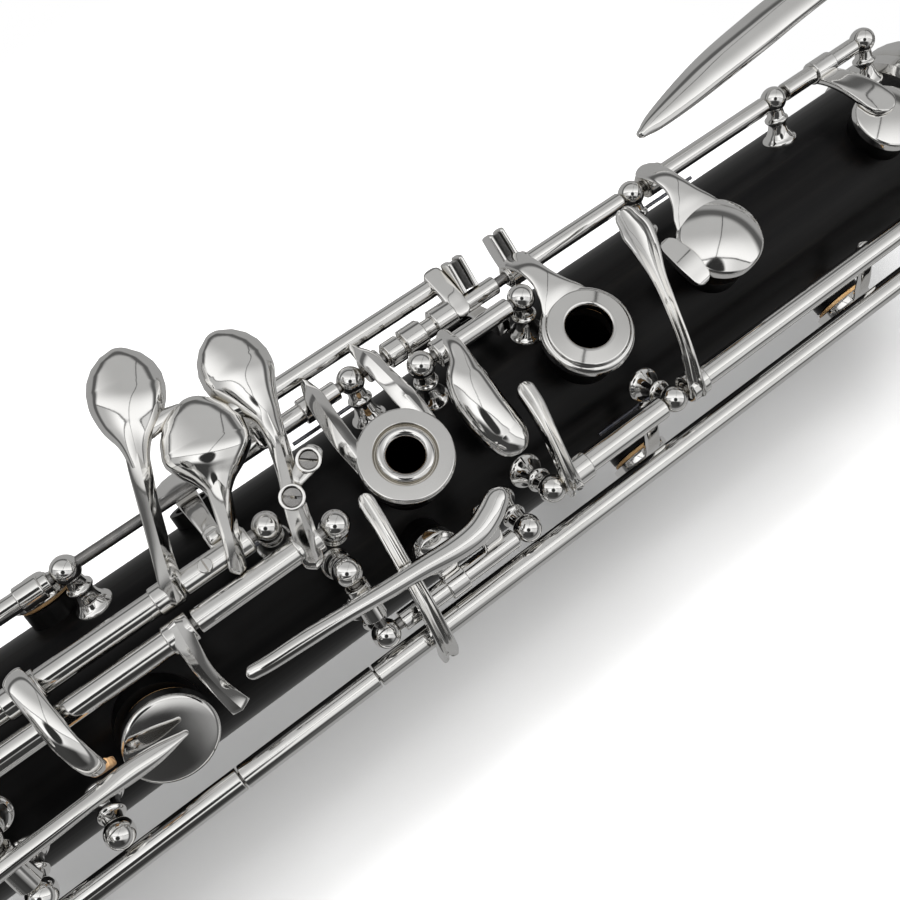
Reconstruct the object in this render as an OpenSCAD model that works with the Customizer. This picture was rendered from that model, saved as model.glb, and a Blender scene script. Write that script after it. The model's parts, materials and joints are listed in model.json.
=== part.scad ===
// Bass clarinet to low E flat, standing on its floor peg.
// The bore runs up +Z, the keys face -Y, and the origin is the tip of the floor peg.
// Angles are measured about the bore: 0 is the front (-Y), positive towards +X.

/* [Body] */
// Outer radius of both joints
body_r = 17.5; // [16.5:0.5:18.5]
// Radius of the bore
bore_r = 11.75; // [11:0.25:12]
// Height of the lower end of the lower joint
lower_z = 262; // [255:1:268]
// Length of the lower joint
lower_len = 378; // [376:1:382]
// Length of the upper joint
upper_len = 325; // [320:1:330]

/* [Keywork] */
// Distance from the bore axis to the hinge rods
hinge_r = 25.9; // [25.5:0.1:26.3]
// Radius of the steel hinge rods
rod_r = 1.0; // [0.9:0.05:1.1]
// Play between a rod and the tube that turns on it
rod_play = 0.04; // [0.02:0.01:0.08]
// Radius of the thin hinge tubes
thin_tube_r = 1.75; // [1.6:0.05:1.9]
// Radius of the stout hinge tubes
stout_tube_r = 2.1; // [1.9:0.05:2.2]
// Radius of the ball on a post
ball_r = 2.5; // [2.2:0.1:2.6]
// Distance from the bore axis to the rims of the tone holes
seat_r = 20.2; // [19.8:0.1:20.4]
// Thickness of the pads
pad_t = 2.2; // [1.8:0.1:2.4]
// Radius of the finger plates
plate_r = 8.3; // [7.5:0.1:8.5]

/* [Bell and neck] */
// Radius of the bend at the foot of the bell
bow_r = 52; // [48:1:56]
// Radius of the bell's rim
rim_r = 70; // [60:1:75]
// Outer radius of the neck tube
neck_r = 11; // [10.5:0.5:11.5]
// Radius of the neck's main bend
neck_bend = 48; // [44:1:52]

/* [Floor peg] */
// Radius of the sliding peg rod
peg_r = 4; // [3.5:0.5:5]

/* [Hidden] */

$fn = 48;
eps = 0.01;
silver = [0.82, 0.82, 0.84];
black = [0.06, 0.06, 0.07];
cork = [0.68, 0.48, 0.3];
leather = [0.72, 0.5, 0.32];

joint_z = lower_z + lower_len;
top_z = joint_z + upper_len;
tube_bore_r = rod_r + rod_play;
post_hole_r = rod_r + 0.02;

// Hinge lines on the lower joint, as angles about the bore
line_a = -53;
line_b = -37;
line_m1 = -17.5;
line_m2 = -4;
line_q = 34;
line_t = 43;
line_s = 54;
line_s_r = 28;
line_c = -63;
line_c_r = 30;
lh_line = -48;

// Places of the right hand's plates
plate_a = -9;
rh1_z = 573;
rh2_z = 541.6;
rh3_z = 502.3;

// ---------- frames and shared shapes ----------

// A point on a circle of radius r about the bore
function at(r, a) = [r * sin(a), -r * cos(a), 0];

// Local frame at angle a and height z: -Y points away from the bore
module station(a, z) {
  rotate([0, 0, a]) translate([0, 0, z]) children();
}

// Turns its children by an angle about a hinge line that is parallel to the bore
module swung(a, turn, r = hinge_r) {
  translate(at(r, a)) rotate([0, 0, turn]) translate(-at(r, a)) children();
}

// A solid bar along a hinge line
module line_bar(a, z0, z1, bar_r, r = hinge_r) {
  translate(at(r, a) + [0, 0, z0]) cylinder(r = bar_r, h = z1 - z0);
}

// A key on a hinge line: its tubes, joined to its children and bored for the rod.
// spans lists the stretches of tube as [low, high]; open turns the key away from closed.
module key_on(a, spans, open = 0, r = hinge_r, tube_r = thin_tube_r) {
  swung(a, open, r) difference() {
    union() {
      for (s = spans) line_bar(a, s[0], s[1], tube_r, r);
      children();
    }
    for (s = spans) line_bar(a, s[0] - 1, s[1] + 1, tube_bore_r, r);
  }
}

// A curved arm that follows a circle about the bore from angle a0 to a1
module arm(a0, a1, z, w, r = 25.2, t = 1.8) {
  station(a0 - 90, z - w / 2) rotate_extrude(angle = a1 - a0)
    translate([r - t / 2, 0]) square([t, w]);
}

// A flat outline in the XZ plane, given thickness towards -Y from the plane y = -y0
module sheet_at(y0, t) {
  translate([0, -y0, 0]) rotate([90, 0, 0]) linear_extrude(t) children();
}

// A tapering bar between two round ends, drawn flat
module taper_bar(p, q, rp, rq) {
  d = (q - p) / norm(q - p);
  n = [-d[1], d[0]];
  translate(p) circle(r = rp);
  translate(q) circle(r = rq);
  polygon([p + n * rp, p - n * rp, q - n * rq, q + n * rq]);
}

// Places its children on the pad seat of a tone hole, with +Z away from the bore
module on_seat(a, z, h = 0) {
  station(a, z) translate([0, -(seat_r + h), 0]) rotate([90, 0, 0]) children();
}

// A shallow domed cup over a pad, with an optional finger hole
module cup(a, z, r, hole = 0) {
  on_seat(a, z, 0.9) rotate_extrude() difference() {
    polygon([[hole, 1.4], [r - 0.6, 1.4], [r - 0.6, 0], [r, 0], [r, 1.9], [r * 0.85, 2.7],
      [r * 0.5, 3.2], [hole, 3.3]]);
  }
}

// The pad in a cup
module pad(a, z, r, hole = 0) {
  on_seat(a, z, 0.1) difference() {
    cylinder(r = r - 0.65, h = pad_t - eps);
    if (hole > 0) translate([0, 0, -1]) cylinder(r = hole, h = pad_t + 2);
  }
}

// Keeps the inside of a cup clear for its pad
module pocket(a, z, r) {
  difference() {
    children();
    on_seat(a, z, -0.9) cylinder(r = r - 0.6, h = pad_t + 1);
  }
}

// A turned post: flared foot on the body, stem and ball bored for the rod
module post(a, z, r = hinge_r, foot = 3.3) {
  stem = r - body_r;
  station(a, z) difference() {
    translate([0, -body_r + 0.6, 0]) rotate([90, 0, 0]) {
      rotate_extrude() polygon([[0, 0], [foot, 0], [foot, 0.9], [2.5, 1.6], [1.9, 3], [1.7, 4.2],
        [2.2, 4.8], [2.2, 5.4], [1.4, 5.9], [1.4, stem], [0, stem]]);
      translate([0, 0, stem + 0.6]) sphere(r = ball_r);
    }
    translate([0, -r, -5]) cylinder(r = post_hole_r, h = 10);
    translate([0, 0, -5]) cylinder(r = body_r, h = 10);
  }
}

// ---------- wooden joints, rings and corks ----------

// Tone holes: [angle, height, hole radius, rim radius]
lower_holes = [[plate_a, rh1_z, 5, 7], [plate_a, rh2_z, 5, 7], [plate_a, rh3_z, 5, 7],
  [24, 447, 5.5, 7.2], [-72, 442, 3, 4.4], [-12, 620, 4, 6], [-54, 330, 8.5, 11.2],
  [24, 385, 7, 9.4], [88, 296, 10, 12.6], [-74, 470, 3, 4.2], [31, 498, 2.8, 4.1],
  [78, 544, 3.4, 5], [78, 600, 3.4, 5], [-78, 531, 2.8, 4.2]];
upper_holes = [[0, 892, 4.5, 6.4], [0, 862, 4.5, 6.4], [0, 812, 5, 7], [62, 922, 3, 4.5],
  [19, 940, 3, 4.5], [180, 870, 4, 6.4], [228, 925, 2, 3.5], [-38, 765, 3.6, 5.2],
  [-38, 690, 3.6, 5.2], [82, 672, 4.6, 6.6], [14, 690, 4.6, 6.4]];

module drilled(holes) {
  difference() {
    union() {
      children();
      for (h = holes) station(h[0], h[1]) translate([0, -11, 0]) rotate([90, 0, 0])
        cylinder(r = h[3], h = seat_r - 11);
    }
    for (h = holes) station(h[0], h[1]) rotate([90, 0, 0]) cylinder(r = h[2], h = 30);
  }
}

socket_r = 14.6;
tenon_r = 14;
tenon_len = 15;

module lower_joint() {
  color(black) difference() {
    drilled(lower_holes) union() {
      translate([0, 0, lower_z]) cylinder(r = body_r, h = lower_len);
      translate([0, 0, lower_z - tenon_len]) cylinder(r = tenon_r, h = tenon_len + 1);
    }
    translate([0, 0, lower_z - tenon_len - 1]) cylinder(r = bore_r, h = lower_len + 40);
    translate([0, 0, joint_z - tenon_len - 0.4]) cylinder(r = socket_r, h = tenon_len + 1);
  }
}

module upper_joint() {
  color(black) difference() {
    drilled(upper_holes) union() {
      translate([0, 0, joint_z]) cylinder(r = body_r, h = upper_len);
      translate([0, 0, joint_z - tenon_len]) cylinder(r = tenon_r, h = tenon_len + 1);
    }
    translate([0, 0, joint_z - tenon_len - 1]) cylinder(r = bore_r, h = upper_len + 40);
    translate([0, 0, top_z - tenon_len - 0.4]) cylinder(r = socket_r - 1, h = tenon_len + 1);
  }
}

// A plain metal ring with rounded edges round the body
module body_ring(z, h, r = body_r) {
  translate([0, 0, z]) rotate_extrude() polygon([[r, 0], [r + 1.6, 0.8], [r + 1.6, h - 0.8], [r, h]]);
}

module joint_rings() {
  color(silver) {
    body_ring(lower_z + 1, 7);
    body_ring(joint_z - 5.4, 5);
    body_ring(joint_z + 0.6, 5.6);
    body_ring(top_z - 9, 8);
  }
}

module cork_sleeve(z, h, r0, r1) {
  translate([0, 0, z]) difference() {
    cylinder(r = r1, h = h);
    translate([0, 0, -1]) cylinder(r = r0, h = h + 2);
  }
}

module tenon_corks() {
  color(cork) {
    for (z = [lower_z, joint_z])
      cork_sleeve(z - tenon_len + 2, tenon_len - 4, tenon_r + eps, socket_r - 0.02);
    cork_sleeve(top_z - tenon_len + 3, tenon_len - 4, neck_r + 1 + eps, socket_r - 1.02);
    in_neck_end() cork_sleeve(-18, 16, neck_r + eps, neck_r + 1.2);
  }
}

// ---------- neck and mouthpiece ----------

neck_turn = 112;
neck_back_turn = 24;
neck_back_bend = 60;
neck_rise = 34;
neck_tip = 26;

// A tube that leaves the origin along +Z and bends towards +Y
module bend_tube(bend, turn, ro, ri) {
  translate([0, bend, 0]) rotate([90, 0, -90]) rotate_extrude(angle = turn)
    translate([bend, 0]) difference() {
      circle(r = ro);
      circle(r = ri);
    }
}

module after_bend(bend, turn) {
  translate([0, bend, 0]) rotate([-turn, 0, 0]) translate([0, -bend, 0]) children();
}

// Frame at the open end of the neck, +Z pointing out of it
module in_neck_end() {
  translate([0, 0, top_z + neck_rise]) after_bend(neck_bend, neck_turn)
    after_bend(-neck_back_bend, -neck_back_turn) translate([0, 0, neck_tip]) children();
}

module pipe(h, ro, ri) {
  difference() {
    cylinder(r = ro, h = h);
    translate([0, 0, -1]) cylinder(r = ri, h = h + 2);
  }
}

module neck() {
  wall = 1.5;
  color(silver) {
    translate([0, 0, top_z - tenon_len + 1]) pipe(tenon_len - 1, neck_r + 1, neck_r - wall);
    translate([0, 0, top_z]) pipe(5, neck_r + 5, neck_r - wall);
    translate([0, 0, top_z + 5]) pipe(neck_rise - 5, neck_r, neck_r - wall);
    translate([0, 0, top_z + neck_rise]) {
      bend_tube(neck_bend, neck_turn, neck_r, neck_r - wall);
      after_bend(neck_bend, neck_turn) {
        rotate([0, 0, 180]) bend_tube(neck_back_bend, neck_back_turn, neck_r, neck_r - wall);
        after_bend(-neck_back_bend, -neck_back_turn) pipe(neck_tip, neck_r, neck_r - wall);
      }
    }
    // Chimney of the register vent on the crown, with the ears and pivot of its key
    neck_vent_place() {
      translate([0, 0, -1.2]) pipe(3.2, 3, 1);
      for (s = [-1, 1]) translate([s * (vent_half + 1) - 0.7, vent_hinge - 1.9, -2.4]) {
        cube([1.4, 3.8, vent_hinge_h + 2.4]);
        translate([0, 1.9, vent_hinge_h + 2.4]) rotate([0, 90, 0]) cylinder(r = 1.9, h = 1.4);
      }
      translate([-vent_half - 1, vent_hinge, vent_hinge_h]) rotate([0, 90, 0])
        cylinder(r = rod_r, h = 2 * vent_half + 2);
    }
  }
}

// Frame on the crown of the neck's bend, +Z away from the tube
vent_turn = 70;
vent_hinge = 10;
vent_hinge_h = 4.4;
vent_half = 3.4;
module neck_vent_place() {
  translate([0, neck_bend, top_z + neck_rise]) rotate([-vent_turn, 0, 0])
    translate([0, -neck_bend - neck_r, 0]) rotate([90, 0, 0]) children();
}

// Mouthpiece frame: origin at the neck's end, +Z towards the tip, reed side at -Y and below
mouthpiece_len = 88;
shank_r = 15;
shank_len = 19;
beak_w = 13.5;
tip_z = mouthpiece_len - shank_len;
table_y = 9.2;
module in_mouthpiece() {
  in_neck_end() rotate([0, 0, 180]) children();
}

module mouthpiece() {
  color(black) in_mouthpiece() difference() {
    translate([0, 0, -shank_len]) rotate_extrude() polygon([[0, 0], [shank_r + 1.6, 0],
      [shank_r + 1.6, 5], [shank_r, 6.5], [shank_r - 1, 22], [14, 46], [10.4, mouthpiece_len],
      [0, mouthpiece_len]]);
    // socket for the neck, then the bore, chamber and window under the reed
    translate([0, 0, -shank_len - 1]) cylinder(r = neck_r + 1.25, h = shank_len + 1.2);
    cylinder(r = 9, h = 30);
    translate([-6, -8, 29]) cube([12, 12, 22]);
    translate([-6, -16, 30]) cube([12, 16, tip_z - 32]);
    // flat table for the reed
    translate([-20, -30 - table_y, 4]) cube([40, 30, 80]);
    // beak that slopes down to the tip on the upper side
    translate([0, -table_y + 1.6, tip_z]) rotate([24, 0, 0]) translate([-20, 0, -60]) cube([40, 40, 80]);
  }
}

module reed() {
  color([0.86, 0.76, 0.52]) in_mouthpiece() translate([-beak_w / 2, -table_y - eps, 5])
    rotate([90, 0, 90]) linear_extrude(beak_w)
      polygon([[0, 0], [-2.9, 0], [-2.9, 34], [-0.4, tip_z - 6], [0, tip_z - 6]]);
}

lig_z = 12;
lig_h = 25;
lig_screw_y = 16.8;
module ligature_band() {
  color(silver) in_mouthpiece() difference() {
    translate([0, 0, lig_z]) union() {
      cylinder(r = 16, h = lig_h);
      for (s = [-1, 1]) translate([s * 6 - 2, -20, 0]) cube([4, 8, lig_h]);
    }
    // inside of the band, flat where it bears on the reed
    translate([0, 0, lig_z - 1]) difference() {
      cylinder(r = 15.05, h = lig_h + 2);
      translate([-20, -40 - 12.2, -1]) cube([40, 40, lig_h + 4]);
    }
    // gap that the screws close
    translate([-4, -30, lig_z - 1]) cube([8, 17.75, lig_h + 2]);
    for (z = [5, 19]) translate([-20, -lig_screw_y, lig_z + z]) rotate([0, 90, 0])
      cylinder(r = 1.56, h = 40);
  }
}

// A ligature screw lies across the two lugs and ends in a knurled head
module ligature_screw(z) {
  color(silver) in_mouthpiece() translate([-9.5, -lig_screw_y, lig_z + z]) rotate([0, 90, 0]) {
    cylinder(r = 1.5, h = 24);
    translate([0, 0, 19.5]) difference() {
      cylinder(r = 3.6, h = 4.5);
      for (i = [0:7]) rotate([0, 0, 45 * i]) translate([4.1, 0, -1]) cylinder(r = 0.8, h = 7, $fn = 12);
    }
  }
}

// ---------- bell and floor peg ----------

bell_top = lower_z - 26;
bow_z = 200;
bow_turn = 160;
bell_len = 112;
bell_wall = 1.2;
bell_sides = 36;

// Centre line of the bell by distance s: down, round the bow, then up to the rim
bow_len = bow_r * bow_turn * PI / 180;
down_len = bell_top - bow_z;
bell_total = down_len + bow_len + bell_len;
function bow_angle(s) = min(bow_turn, max(0, (s - down_len) / bow_r * 180 / PI));
function bell_centre(s) = let (g = bow_angle(s), d = min(s, down_len), e = max(0, s - down_len - bow_len))
  [0, -bow_r + bow_r * cos(g) - e * sin(bow_turn), bell_top - d - bow_r * sin(g) - e * cos(bow_turn)];
// Radius grows slowly round the bow and flares at the rim
function bell_radius(s) = let (k = s / bell_total) 17.3 + 14 * pow(k, 1.4) + (rim_r - 31.3) * pow(k, 12);
function bell_ring(s, r) = let (g = bow_angle(s), c = bell_centre(s))
  [for (i = [0:bell_sides - 1]) let (b = 360 * i / bell_sides)
    c + [r * sin(b), r * cos(b) * cos(g), -r * cos(b) * sin(g)]];
bell_stops = [for (i = [0:27]) bell_total * (1 - pow(1 - i / 27, 1.35))];

module bell() {
  n = len(bell_stops);
  m = bell_sides;
  pts = concat([for (s = bell_stops) each bell_ring(s, bell_radius(s))],
    [for (i = [n - 1:-1:0]) each bell_ring(bell_stops[i], bell_radius(bell_stops[i]) - bell_wall)]);
  rings = 2 * n;
  color(silver) polyhedron(points = pts, faces = [for (i = [0:rings - 1]) for (j = [0:m - 1])
    let (a = i * m + j, b = i * m + (j + 1) % m, c = ((i + 1) % rings) * m + j,
      d = ((i + 1) % rings) * m + (j + 1) % m) each [[a, b, d], [a, d, c]]]);
}

// The socket takes the top of the bell below and the wooden tenon above
module bell_socket() {
  grip = 8;
  color(silver) translate([0, 0, bell_top - grip]) difference() {
    union() {
      cylinder(r = 19.4, h = lower_z - 0.5 - bell_top + grip);
      translate([0, 0, lower_z - 8 - bell_top + grip]) cylinder(r = 20.6, h = 7.5);
      translate([0, 0, 1]) cylinder(r = 20.4, h = 3);
    }
    translate([0, 0, -1]) cylinder(r = 17.55, h = grip + 1 + eps);
    translate([0, 0, grip]) cylinder(r = socket_r, h = 40);
  }
}

peg_tube_z = 62;
peg_tube_top = 152;
module peg_tube() {
  color(silver) difference() {
    union() {
      translate([0, 0, peg_tube_z]) cylinder(r = 6.6, h = peg_tube_top - peg_tube_z);
      translate([0, 0, peg_tube_z]) cylinder(r = 9, h = 16);
    }
    translate([0, 0, peg_tube_z - 1]) cylinder(r = peg_r + 0.05, h = 62);
    // sloping top that follows the bow of the bell
    translate([0, 0, 148]) rotate([46, 0, 0]) translate([-20, -20, 0]) cube([40, 60, 30]);
    translate([0, 0, peg_tube_z + 8]) rotate([0, 90, 0]) cylinder(r = 2.04, h = 30);
  }
}

module floor_peg() {
  color(silver) {
    translate([0, 0, 20]) cylinder(r = peg_r, h = 80);
    translate([0, 0, 6]) cylinder(r1 = 2, r2 = peg_r, h = 14 + eps);
  }
  color([0.1, 0.1, 0.1]) cylinder(r = 4.5, h = 14);
}

module peg_screw() {
  color(silver) translate([peg_r + 0.2, 0, peg_tube_z + 8]) rotate([0, 90, 0]) {
    cylinder(r = 2, h = 14);
    translate([0, 0, 6]) cylinder(r = 3.2, h = 3);
    translate([0, 0, 9]) difference() {
      cylinder(r = 7, h = 5);
      for (i = [0:9]) rotate([0, 0, 36 * i]) translate([7.6, 0, -1]) cylinder(r = 1.2, h = 7, $fn = 16);
    }
  }
}

// ---------- hand supports ----------

// A slotted screw head that stands out of a plate along -Y
module plate_screw(z, y) {
  translate([0, -y, z]) rotate([90, 0, 0]) difference() {
    cylinder(r = 2.4, h = 1.2);
    translate([-3, -0.35, 0.5]) cube([6, 0.7, 2]);
  }
}

module thumb_rest() {
  color(silver) station(180, 556) {
    difference() {
      union() {
        translate([-7, -body_r - 2, -16]) cube([14, 3.4, 34]);
        translate([-9, -body_r - 19, -10]) cube([18, 18, 3]);
        translate([-9, -body_r - 19, -12]) cube([18, 3, 8]);
      }
      translate([0, 0, -30]) cylinder(r = body_r, h = 60);
    }
    plate_screw(-13, body_r + 2 - eps);
    plate_screw(13, body_r + 2 - eps);
  }
}

ring_z = 660;
ring_r = 5.5;
module strap_ring() {
  color(silver) station(180, ring_z) difference() {
    union() {
      translate([-6, -body_r - 1.6, -13]) cube([12, 3, 26]);
      translate([-1.75, -body_r - 5, -3]) cube([3.5, 5, 6]);
      translate([-1.75, -body_r - 3 - ring_r - 3, 0]) rotate([0, 90, 0]) cylinder(r = ring_r + 3, h = 3.5);
    }
    translate([0, 0, -30]) cylinder(r = body_r, h = 60);
    translate([-5, -body_r - 3 - ring_r - 3, 0]) rotate([0, 90, 0]) cylinder(r = ring_r, h = 10);
  }
  color(silver) station(180, ring_z) {
    plate_screw(-9.6, body_r + 1.6 - eps);
    plate_screw(9.6, body_r + 1.6 - eps);
  }
}

// ---------- posts, rods and springs ----------

// Posts as [angle, height] at the common hinge radius
lower_post_places = [[line_a, 400], [line_a, 448.2], [line_a, 503.8], [line_a, 568.4], [line_a, 605.8],
  [line_a, 631], [line_b, 514.3], [line_b, 536.2], [line_m1, 308], [line_m1, 477.4], [line_m2, 366],
  [line_q, 520.5], [line_q, 548.6], [line_q, 623.5], [43.5, 433.2], [line_t, 513.6]];
upper_post_places = [[lh_line, 780], [lh_line, 834], [lh_line, 877], [lh_line, 908], [line_q, 656],
  [line_q, 742], [150, 852], [150, 888], [212, 856], [212, 940], [38, 905], [38, 950], [6, 914], [6, 950]];

module lower_posts() {
  color(silver) {
    for (p = lower_post_places) post(p[0], p[1]);
    for (z = [275, 628]) post(line_s, z, line_s_r);
    post(line_m2, 486.3, foot = close_foot);
    difference() {
      union() {
        post(12, touch_z, foot = close_foot);
        post(line_t, touch_z);
      }
      across_rod(touch_a, touch_z, touch_half + 1.3, touch_far + 0.1, post_hole_r);
    }
    difference() {
      union() {
        post(14, rocker_z);
        post(44.5, rocker_z);
      }
      across_rod(rocker_a, rocker_z, rocker_half + 1.3, rocker_half + 1.3, post_hole_r);
    }
  }
}

module upper_posts() {
  color(silver) {
    for (p = upper_post_places) post(p[0], p[1]);
    for (z = [651, 738]) post(line_s, z, line_s_r);
    for (z = [651, 742, 792]) post(line_c, z, line_c_r);
  }
}

// Rods of the two rockers run across the body between a pair of posts
touch_a = 26;
close_foot = 2.7;
touch_z = 483.6;
touch_half = 6.27;
touch_far = 6.3;
rocker_a = 29.25;
rocker_z = 419.6;
rocker_half = 6.8;
module across_rod(a, z, left, right, r = rod_r) {
  depth = a == touch_a ? touch_half : rocker_half;
  station(a, z) translate([-left, -hinge_r * cos(asin(depth / hinge_r)), 0]) rotate([0, 90, 0])
    cylinder(r = r, h = left + right);
}

module lower_rods() {
  color([0.6, 0.6, 0.62]) {
    line_bar(line_a, 399, 632, rod_r);
    line_bar(line_b, 513, 537.5, rod_r);
    line_bar(line_m1, 307, 478.6, rod_r);
    line_bar(line_m2, 365, 487.5, rod_r);
    line_bar(line_q, 519.3, 624.5, rod_r);
    line_bar(line_t, 482.4, 514.8, rod_r);
    line_bar(line_s, 274, 629, rod_r, line_s_r);
    across_rod(touch_a, touch_z, touch_half + 1.2, touch_far);
    across_rod(rocker_a, rocker_z, rocker_half + 1.2, rocker_half + 1.2);
  }
}

module upper_rods() {
  color([0.6, 0.6, 0.62]) {
    line_bar(lh_line, 779, 909, rod_r);
    line_bar(line_q, 655, 743, rod_r);
    line_bar(line_s, 650, 739, rod_r, line_s_r);
    line_bar(line_c, 650, 793, rod_r, line_c_r);
    line_bar(150, 851, 889, rod_r);
    line_bar(212, 855, 941, rod_r);
    line_bar(38, 904, 951, rod_r);
    line_bar(6, 913, 951, rod_r);
  }
}

// A needle spring leaves the stem of its post and runs under the hinge tube
module needle_springs() {
  spring_len = 12;
  stem_r = 2.15;
  color([0.25, 0.3, 0.5]) {
    translate(at(21.6, line_a) + [0, 0, 568.4 + stem_r]) cylinder(r = 0.35, h = spring_len, $fn = 16);
    for (p = [[line_a, 503.8], [line_m1, 477.4], [line_m2, 486.3], [line_q, 548.6], [lh_line, 834],
        [lh_line, 877], [lh_line, 908]])
      translate(at(21.6, p[0]) + [0, 0, p[1] - stem_r - spring_len])
        cylinder(r = 0.35, h = spring_len, $fn = 16);
  }
}

// ---------- shapes that only keys use ----------

// A straight bar between two plan points, of width w up the bore and thickness t
module link(p, q, z, w, t) {
  d = q - p;
  translate([p[0], p[1], z - w / 2]) rotate([0, 0, atan2(d[1], d[0])]) translate([0, -t / 2, 0])
    cube([norm(d), t, w]);
}

// A post of metal that stands out from a hinge tube at angle a, from radius r0 to r1
module web(a, z, w, r0, r1) {
  station(a, z) translate([-1.4, -r1, -w / 2]) cube([2.8, r1 - r0, w]);
}

// A flat outline that follows a list of [x, z, half width] from end to end
module strip(p) {
  for (i = [0:len(p) - 2]) taper_bar([p[i][0], p[i][1]], [p[i + 1][0], p[i + 1][1]], p[i][2], p[i + 1][2]);
}

// ---------- right hand finger plates ----------

plate_open = -5.5;
plate_hole = 3.3;
arm_r = 24.4;

module rh1_key() {
  color(silver) key_on(line_a, [[571.3, 603]], plate_open) {
    pocket(plate_a, rh1_z, plate_r) {
      arm(line_a, plate_a - 6, rh1_z + 0.5, 4.4, arm_r);
      sheet_at(21.6, 1.8) taper_bar([-8, 563.3], [0.5, 563.8], 2, 2);
    }
    cup(plate_a, rh1_z, plate_r);
  }
}
module rh1_pad() { color(leather) swung(line_a, plate_open) pad(plate_a, rh1_z, plate_r); }

module rh2_key() {
  color(silver) key_on(line_a, [[538, 565.6]], plate_open) {
    pocket(plate_a, rh2_z, plate_r) arm(line_a, plate_a - 14, rh2_z, 5, arm_r);
    cup(plate_a, rh2_z, plate_r, plate_hole + 0.8);
    web(line_a - 6, 540.5, 2, 25, 31);
  }
}
module rh2_pad() { color(leather) swung(line_a, plate_open) pad(plate_a, rh2_z, plate_r, plate_hole + 0.8); }

module rh3_key() {
  color(silver) key_on(line_a, [[489, 500.9], [506.7, 510.2]], plate_open) {
    arm(line_a, plate_a - 12, 496, 3.6, arm_r);
    arm(line_a, plate_a - 12, 508.4, 3, arm_r);
    cup(plate_a, rh3_z, plate_r, plate_hole);
  }
}
module rh3_pad() { color(leather) swung(line_a, plate_open) pad(plate_a, rh3_z, plate_r, plate_hole); }

// Outrigger bar that links the plates past the post between them
module stack_bridge() {
  color(silver) key_on(line_a, [[478, 487.6], [511, 535.6]]) {
    line_bar(line_c, 484, 531, thin_tube_r, line_c_r);
    for (z = [485.8, 529]) link(at(hinge_r, line_a), at(line_c_r, line_c), z, 3, 2);
    web(line_a - 6, 532, 2, 25, 31);
  }
}

module sliver_key() {
  color(silver) key_on(line_b, [[517.2, 533.3]]) {
    web(line_b, 531, 3, 21.7, 25);
    arm(-74, line_b, 531, 3, 22.3, 1.2);
    cup(-78, 531, 5);
    arm(line_b, -22, 520, 4, 25.8);
    sheet_at(24.4, 1.6) strip([[-13, 519.8, 2], [-8.5, 517.2, 2.6], [-2, 516.6, 4.2], [0.8, 517.4, 3.6]]);
  }
}

// ---------- little finger keys ----------

press_open = 5;
spatula_tilt = -10;

module low_e_key() {
  color(silver) key_on(line_m1, [[311.2, 461.3]], press_open, tube_r = stout_tube_r) {
    pocket(-54, 330, 12) arm(-44, line_m1, 330, 8, arm_r);
    cup(-54, 330, 12);
    swung(line_m1, spatula_tilt - press_open) sheet_at(26.2, 1.6)
      strip([[-7.6, 458.9, 2.4], [-28, 465.6, 2.3], [-36, 470.6, 5], [-39.6, 473, 5.4]]);
    // arched collar that crosses the neighbouring tube
    swung(line_m1, -press_open) {
      web(line_m1, 434.5, 5, 26.5, 30.2);
      arm(line_m1 - 2, 17, 434.5, 5, 29.3, 1.8);
    }
  }
}
module low_e_pad() { color(leather) swung(line_m1, press_open) pad(-54, 330, 12); }

module g_sharp_key() {
  color(silver) key_on(line_m1, [[462, 474.3]], press_open, tube_r = stout_tube_r) {
    arm(-26, line_m1, 470, 3.4, arm_r);
    web(-25, 470, 3, 21.7, 25);
    arm(-70, -24, 470, 3, 22.3, 1.2);
    cup(-74, 470, 5);
    swung(line_m1, spatula_tilt - press_open) sheet_at(26.2, 1.6)
      strip([[-7.6, 470.3, 1.9], [-15, 474, 1.9], [-19, 475.6, 3.4], [-25, 477.6, 6.5]]);
  }
}

// The upper spatula bears on its neighbours through two adjusting screws
module f_sharp_key() {
  color(silver) key_on(line_m2, [[460.5, 483.2]], tube_r = stout_tube_r)
    swung(line_m2, spatula_tilt) {
      sheet_at(27.2, 1.7) strip([[-0.5, 480.8, 2.2], [-8.6, 483.8, 2.6], [-12.8, 487.4, 2.4],
        [-20, 488.4, 1.9], [-27, 488.9, 3.6], [-32.6, 489.3, 5.8]]);
      for (p = [[-8.8, 483.7], [-12.9, 488.6]]) translate([p[0], 0, 0]) plate_screw(p[1], 28.9 - eps);
    }
}

// Cross bar key that the long touch works
module low_f_key() {
  color(silver) key_on(line_m2, [[369, 459.9]], tube_r = stout_tube_r) {
    pocket(24, 385, 10.4) arm(line_m2, 16, 385, 8, arm_r);
    cup(24, 385, 10.4);
    arm(line_m2, 25, 458, 3.2, 27.2);
  }
}
module low_f_pad() { color(leather) pad(24, 385, 10.4); }

touch_y = 29.9;
module long_touch_key() {
  reach = touch_half - ball_r - 0.35;
  color(silver) difference() {
    union() {
      across_rod(touch_a, touch_z, reach, reach, stout_tube_r);
      translate([9.4, -touch_y - 1, touch_z - 1.6]) cube([2.4, 7.4, 3.2]);
      sheet_at(touch_y, 1.8) strip([[9.4, 462.6, 1.8], [9.8, 474, 2], [10.6, 484, 2.1], [11.6, 495, 2.2],
        [12.2, 501, 2.4], [11.3, 507, 2.4], [9.4, 509.8, 2.2]]);
    }
    across_rod(touch_a, touch_z, reach + 2, reach + 2, tube_bore_r);
  }
}

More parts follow.
